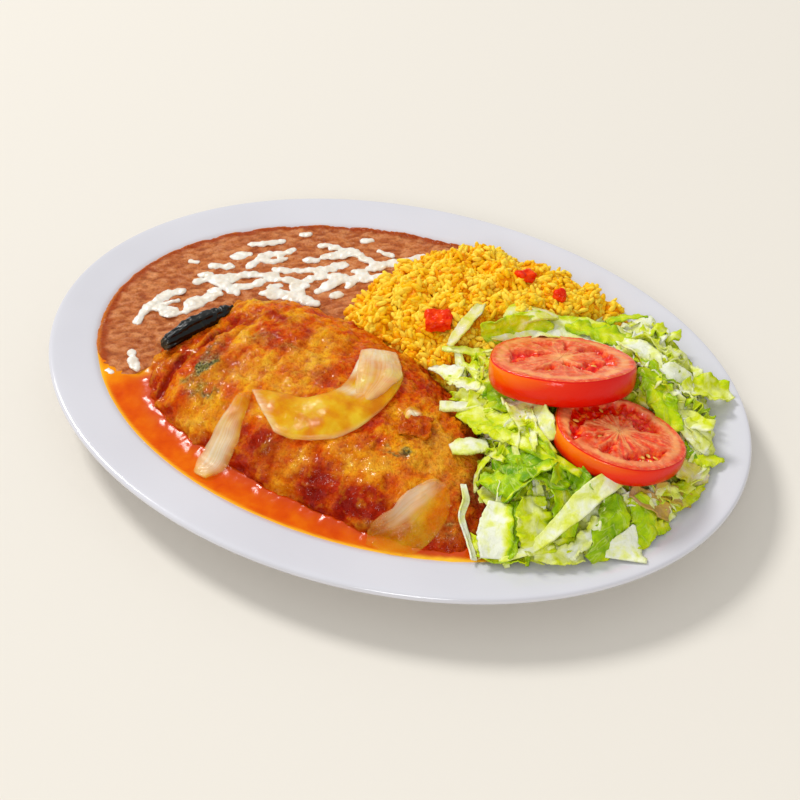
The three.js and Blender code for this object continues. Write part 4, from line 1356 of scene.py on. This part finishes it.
         [(119, 31, 32), (124, 37, 30), (129, 43, 27.5), (134, 48, 25), (138, 52, 23.5)]),
        ("whiteBack", 0.8, (5, 10, 12, 10, 5), 5, 0.4, (0.12, 0.03, 0.1), 0,
         [(90, 45, 36.5), (95, 44, 37.5), (100, 43, 37), (105, 41, 36), (110, 38, 34.5)]),
        ("leafRight", 0.4, (8, 12, 13, 10, 5), 15, 1.8, (0.65, 0.5, 0.65), 0,
         [(105, 31, 39), (110, 28, 37.5), (115, 23, 36), (120, 18, 34), (126, 13, 31)]),
        ("leafRightLow", 0.4, (6, 10, 10, 6), -20, 1.8, (0.6, 0.45, 0.6), 0,
         [(107, 26, 37), (114, 22, 36), (121, 16, 34), (128, 9, 31)]),
        ("topStrip", 0.6, (3, 4.5, 4, 2), 0, 0.5, (0.5, 0.45, 0.6), 0,
         [(77, 63, 29), (81, 68, 29.5), (86, 73, 29), (91, 77, 28)]),
        ("topA", 0.4, (6, 9, 8, 4), 10, 2.2, (0.45, 0.2, 0.45), 0,
         [(94, 59, 32), (98, 66, 30.5), (103, 69, 29), (109, 69, 27.5)]),
        ("topC", 0.4, (6, 10, 9, 5), 20, 2.0, (0.45, 0.2, 0.4), 0,
         [(107, 55, 32), (112, 51, 31.5), (116, 46, 31), (119, 40, 31)]),
        ("whiteShred", 0.7, (2.4, 3.2, 2.6, 2.8, 3.4), 0, 0.3, (0.1, 0.03, 0.08), 0,
         [(65, -56, 29.5), (69.5, -62, 29), (70, -68, 26.5), (76, -74, 22.5), (82, -81, 20.5)]),
        ("bottomA", 0.5, (2, 6, 6, 3), 20, 0.8, (0.6, 0.45, 0.55), 0,
         [(82, -78, 20.8), (88, -76.5, 22), (94, -75, 22), (100, -73, 21.5)]),
        ("bottomB", 0.6, (3, 7, 8, 5), 10, 0.8, (0.3, 0.15, 0.3), 0,
         [(102, -71, 23), (107, -68.5, 24), (112, -65, 23.5), (118, -61, 22)]),
    ],
}


def lettuceLook():
    look = newLook("lettuceLeaf", Roughness=0.4, Coat_Weight=0.15, Coat_Roughness=0.15,
                   Specular_IOR_Level=0.1)
    parts = painted(look, "leaf")
    blotch = level(look, spread(look, 6, 3, 0.55, 0.5), 0.3, 0.7, -0.22, 0.22)
    shade = figure(look, "ADD", parts["Green"], blotch)
    green = ramp(look, shade, (0.0, 250, 252, 232), (0.2, 242, 247, 150), (0.4, 222, 232, 16),
                 (0.64, 176, 212, 0), (1.0, 100, 156, 0))
    # brown-orange laid by the amber share: painted shade on pieces lying in shade beside the tomato slices,
    # and a warm tint on some pale pieces
    brownTintAndShade = ramp(look, blotch, (0.0, 190, 124, 26), (0.5, 216, 164, 70), (1.0, 238, 206, 136))
    crinkle = spread(look, 2.2, 4, 0.6, 0.8)
    # the hollows of the crinkle bumps painted darker yellow-green, as painted shade
    hollowShade = ramp(look, crinkle, (0.34, 222, 228, 150), (0.48, 255, 255, 246), (0.7, 255, 255, 255))
    withHollowShade = stain(look, 0.3, stain(look, parts["Red"], green, brownTintAndShade), hollowShade, "MULTIPLY")
    outward = figure(look, "SUBTRACT", attribute(look, "leaf", "Alpha"), 0.5)
    slanted = figure(look, "MULTIPLY_ADD", figure(look, "ABSOLUTE", outward), -1.6, parts["Blue"])
    ribbed = node(look, "CombineXYZ", {"X": slanted, "Y": outward}).outputs["Vector"]
    branches = node(look, "TexNoise", {"Vector": ribbed, "Scale": 1.7, "Detail": 2.0, "Distortion": 0.3})
    veins = ramp(look, branches.outputs["Fac"], (0.465, 0, 0, 0), (0.5, 255, 255, 255), (0.535, 0, 0, 0))
    veined = figure(look, "MULTIPLY", veins, level(look, shade, 0.2, 0.8, 0.0, 0.4))
    base = stain(look, veined, withHollowShade, tone(240, 250, 140))
    bumps = relief(look, veined, 0.4, relief(look, crinkle, 0.5))
    feed(look, "Base Color", base)
    feed(look, "Normal", bumps)
    nodes = look.node_tree.nodes
    through = node(look, "BsdfTranslucent", {"Color": base, "Normal": bumps})
    both = node(look, "MixShader", {0: lettuce["through"], 1: nodes["Principled BSDF"].outputs["BSDF"],
                                    2: through.outputs["BSDF"]})
    look.node_tree.links.new(both.outputs["Shader"], nodes["Material Output"].inputs["Surface"])
    return look


def outsideSlices(points):  # True if no point lies in or over a tomato slice
    beside, below = lettuce["clear"]
    for shape in (tomato["upper"], tomato["lower"]):
        facing = np.array(Vector(shape["facing"]).normalized())
        off = points - np.array(shape["centre"]) * mm
        height = off @ facing
        radial = np.linalg.norm(off - height[:, None] * facing, axis=1)
        if np.any((radial < (shape["radius"] + beside) * mm) & (height > -(shape["thick"] + below) * mm)):
            return False
    return True


def leafGrid(rng, line, widths, roll, ruffle, surface, steps):  # the points of a leaf along a line
    columns, rows = steps
    spine = evened(alongLine(line, 0.3), 40)
    spots = np.linspace(0, len(spine) - 1, columns)
    far = np.arange(len(spine))
    spine = np.array([[np.interp(s, far, spine[:, k]) for k in range(3)] for s in spots]) * mm
    slopes = np.gradient(spine, axis=0)
    facing = surface.find_nearest(Vector(spine[columns // 2]))[1]
    facing = (facing + Vector((0, 0, 0.5))).normalized()
    bends = [rng.uniform(-0.35, 0.35) for _ in range(3)]
    phase = rng.uniform(0, turnRound)
    waves = rng.uniform(2.0, 4.0)
    cup = rng.uniform(-0.16, 0.2)
    grid = []
    for i in range(columns):
        share = i / (columns - 1)
        ahead = Vector(slopes[i]).normalized()
        across = ahead.cross(facing).normalized()
        over = across.cross(ahead)
        angle = math.radians(roll) + bends[0] * math.sin(share * 4 + phase) + bends[1] * (share - 0.5) * 2
        side = across * math.cos(angle) + over * math.sin(angle)
        lift = side.cross(ahead).normalized() * (1 if side.cross(ahead).z > 0 else -1)
        half = 0.5 * float(np.interp(share, np.linspace(0, 1, len(widths)), widths)) * mm
        row = []
        for k in range(rows):
            v = k / (rows - 1) * 2 - 1
            brink = max(abs(v) - 0.5, 0) * 2
            ragged = 1 + 0.16 * noise.noise(Vector((share * 5 + phase, v * 0.7 + (9 if v > 0 else 0), 0)))
            ragged += 0.07 * brink * noise.noise(Vector((share * 21 + phase, 5 if v > 0 else 0, 3)))
            wave = v * abs(v) * math.sin(phase + share * waves * turnRound + v * 1.2)
            frill = 0.3 * brink * math.sin(share * waves * 20 + phase * 3 + v)
            place = Vector(spine[i]) + side * (v * half * ragged)
            crinkle = 0.7 * noise.noise(place / (3.2 * mm))
            crinkle += 0.5 * noise.noise(Vector((share * 4, v * 1.5, phase)))
            height = (wave + frill + crinkle) * ruffle * mm + cup * 2 * half * (v * v - 0.3)
            row.append(place + lift * height)
        grid.append(row)
    return grid


def addLeaf(bm, layer, grid, shades, amber, fade=0.0):
    columns = len(grid)
    rows = len(grid[0])
    made = bmesh.ops.create_grid(bm, x_segments=columns - 1, y_segments=rows - 1, size=0.5)["verts"]
    for vert in made:
        i = round((vert.co.x + 0.5) * (columns - 1))
        k = round((vert.co.y + 0.5) * (rows - 1))
        shade = float(np.interp(k / (rows - 1), np.linspace(0, 1, len(shades)), shades))
        shade += fade * (i / (columns - 1) - 0.5)
        far = (grid[i][k] - grid[0][k]).length / (10 * mm)
        vert[layer] = (amber, min(max(shade, 0), 1), far, k / (rows - 1))
        vert.co = grid[i][k]


def sheetMesh():
    bm = bmesh.new()
    return bm, bm.verts.layers.float_color.new("leaf")


def thicken(bm, name, thick, look):
    obj = meshFrom(bm, name)
    bake(obj, ("SOLIDIFY", {"thickness": thick * mm, "offset": 0}))
    return finish(obj, look, "shredded_lettuce")


def scatterShreds(rng, sheet, surface, lot):
    wanted, across, along, lengths, widths, greenness, heights = lot

    def inLot(place, normal):
        return (normal.z > 0.05 and place.z > 15 * mm and across[0] < place.x / mm < across[1]
                and along[0] < place.y / mm < along[1])

    made = 0
    for place, normal in surfaceSpots(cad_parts["lettuce"], wanted * 12, rng, inLot):
        if made == wanted:
            break
        ahead = normal.cross(Vector((rng.gauss(0, 1), rng.gauss(0, 1), rng.gauss(0, 0.5)))).normalized()
        length = rng.uniform(*lengths) * mm
        height = rng.uniform(*heights)
        middle = place + normal * height * mm
        bow = normal * rng.uniform(-0.15, 0.3) * length
        line = [middle - ahead * length / 2 - bow / 2, middle + bow / 2,
                middle + ahead * length / 2 - bow / 2]
        width = rng.uniform(*widths)
        grid = leafGrid(rng, np.array(line) / mm, (width * 0.5, width, width, width * 0.5),
                        rng.uniform(-28, 28), rng.uniform(0.5, 1.6), surface, lettuce["shredSteps"])
        flat = np.array([p for row in grid for p in row])
        if not outsideSlices(flat) or flat[:, 2].min() < 9 * mm or insetOf(flat).min() < 14 * mm:
            continue
        centre = Vector(flat.mean(axis=0))
        near, facing, _, _ = chileTree.find_nearest(centre)
        if (centre - near).dot(facing) < 1 * mm:
            continue
        # shreds sunk more than 1 mm are painted greener, as painted shade deep in the heap
        green = min(max(rng.gauss(greenness, 0.2) + (0.14 if height < -1 else 0), 0.0),
                    1)  # no white deep down
        shades = (green * rng.uniform(0.5, 1), green, green * rng.uniform(0.5, 1))
        addLeaf(*sheet, grid, shades, 0, rng.uniform(-0.3, 0.3))
        made += 1


def makeLettuce():
    look = lettuceLook()
    core = softCopy("lettuceHeap", lettuce["grain"], lettuce["rounds"], "lettuce")
    points = pointsOf(core)
    points += raised(core, -lettuce["sunk"])
    size, height = lettuce["rough"]
    points += raised(core, fractal(points, size * mm, 3, 4) * height)
    movePoints(core, points)
    shade = 0.4 + 0.25 * fractal(points, 9 * mm, 2, 6)
    paintPoints(core, "leaf", 0, shade, shade)
    finish(core, look, "shredded_lettuce", "lettuce")
    surface = treeOf(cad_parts["lettuce"])

    sheets = {}  # one mesh for each thickness
    for name, thick, widths, roll, ruffle, shades, amber, line in lettuce["laid"]:
        if thick not in sheets:
            sheets[thick] = sheetMesh()
        grid = leafGrid(random.Random(name), line, widths, roll, ruffle, surface, lettuce["leafSteps"])
        addLeaf(*sheets[thick], grid, shades, amber)
    for thick, (bm, _) in sheets.items():
        thicken(bm, "lettuceLeaves" + str(round(thick * 10)), thick, look)

    sheet = sheetMesh()
    for place, lot in enumerate(lettuce["shreds"]):
        scatterShreds(random.Random(lettuce["seed"] + place), sheet, surface, lot)
    thicken(sheet[0], "lettuceShreds", lettuce["shredThick"], look)


makeLettuce()
print("lettuce made")
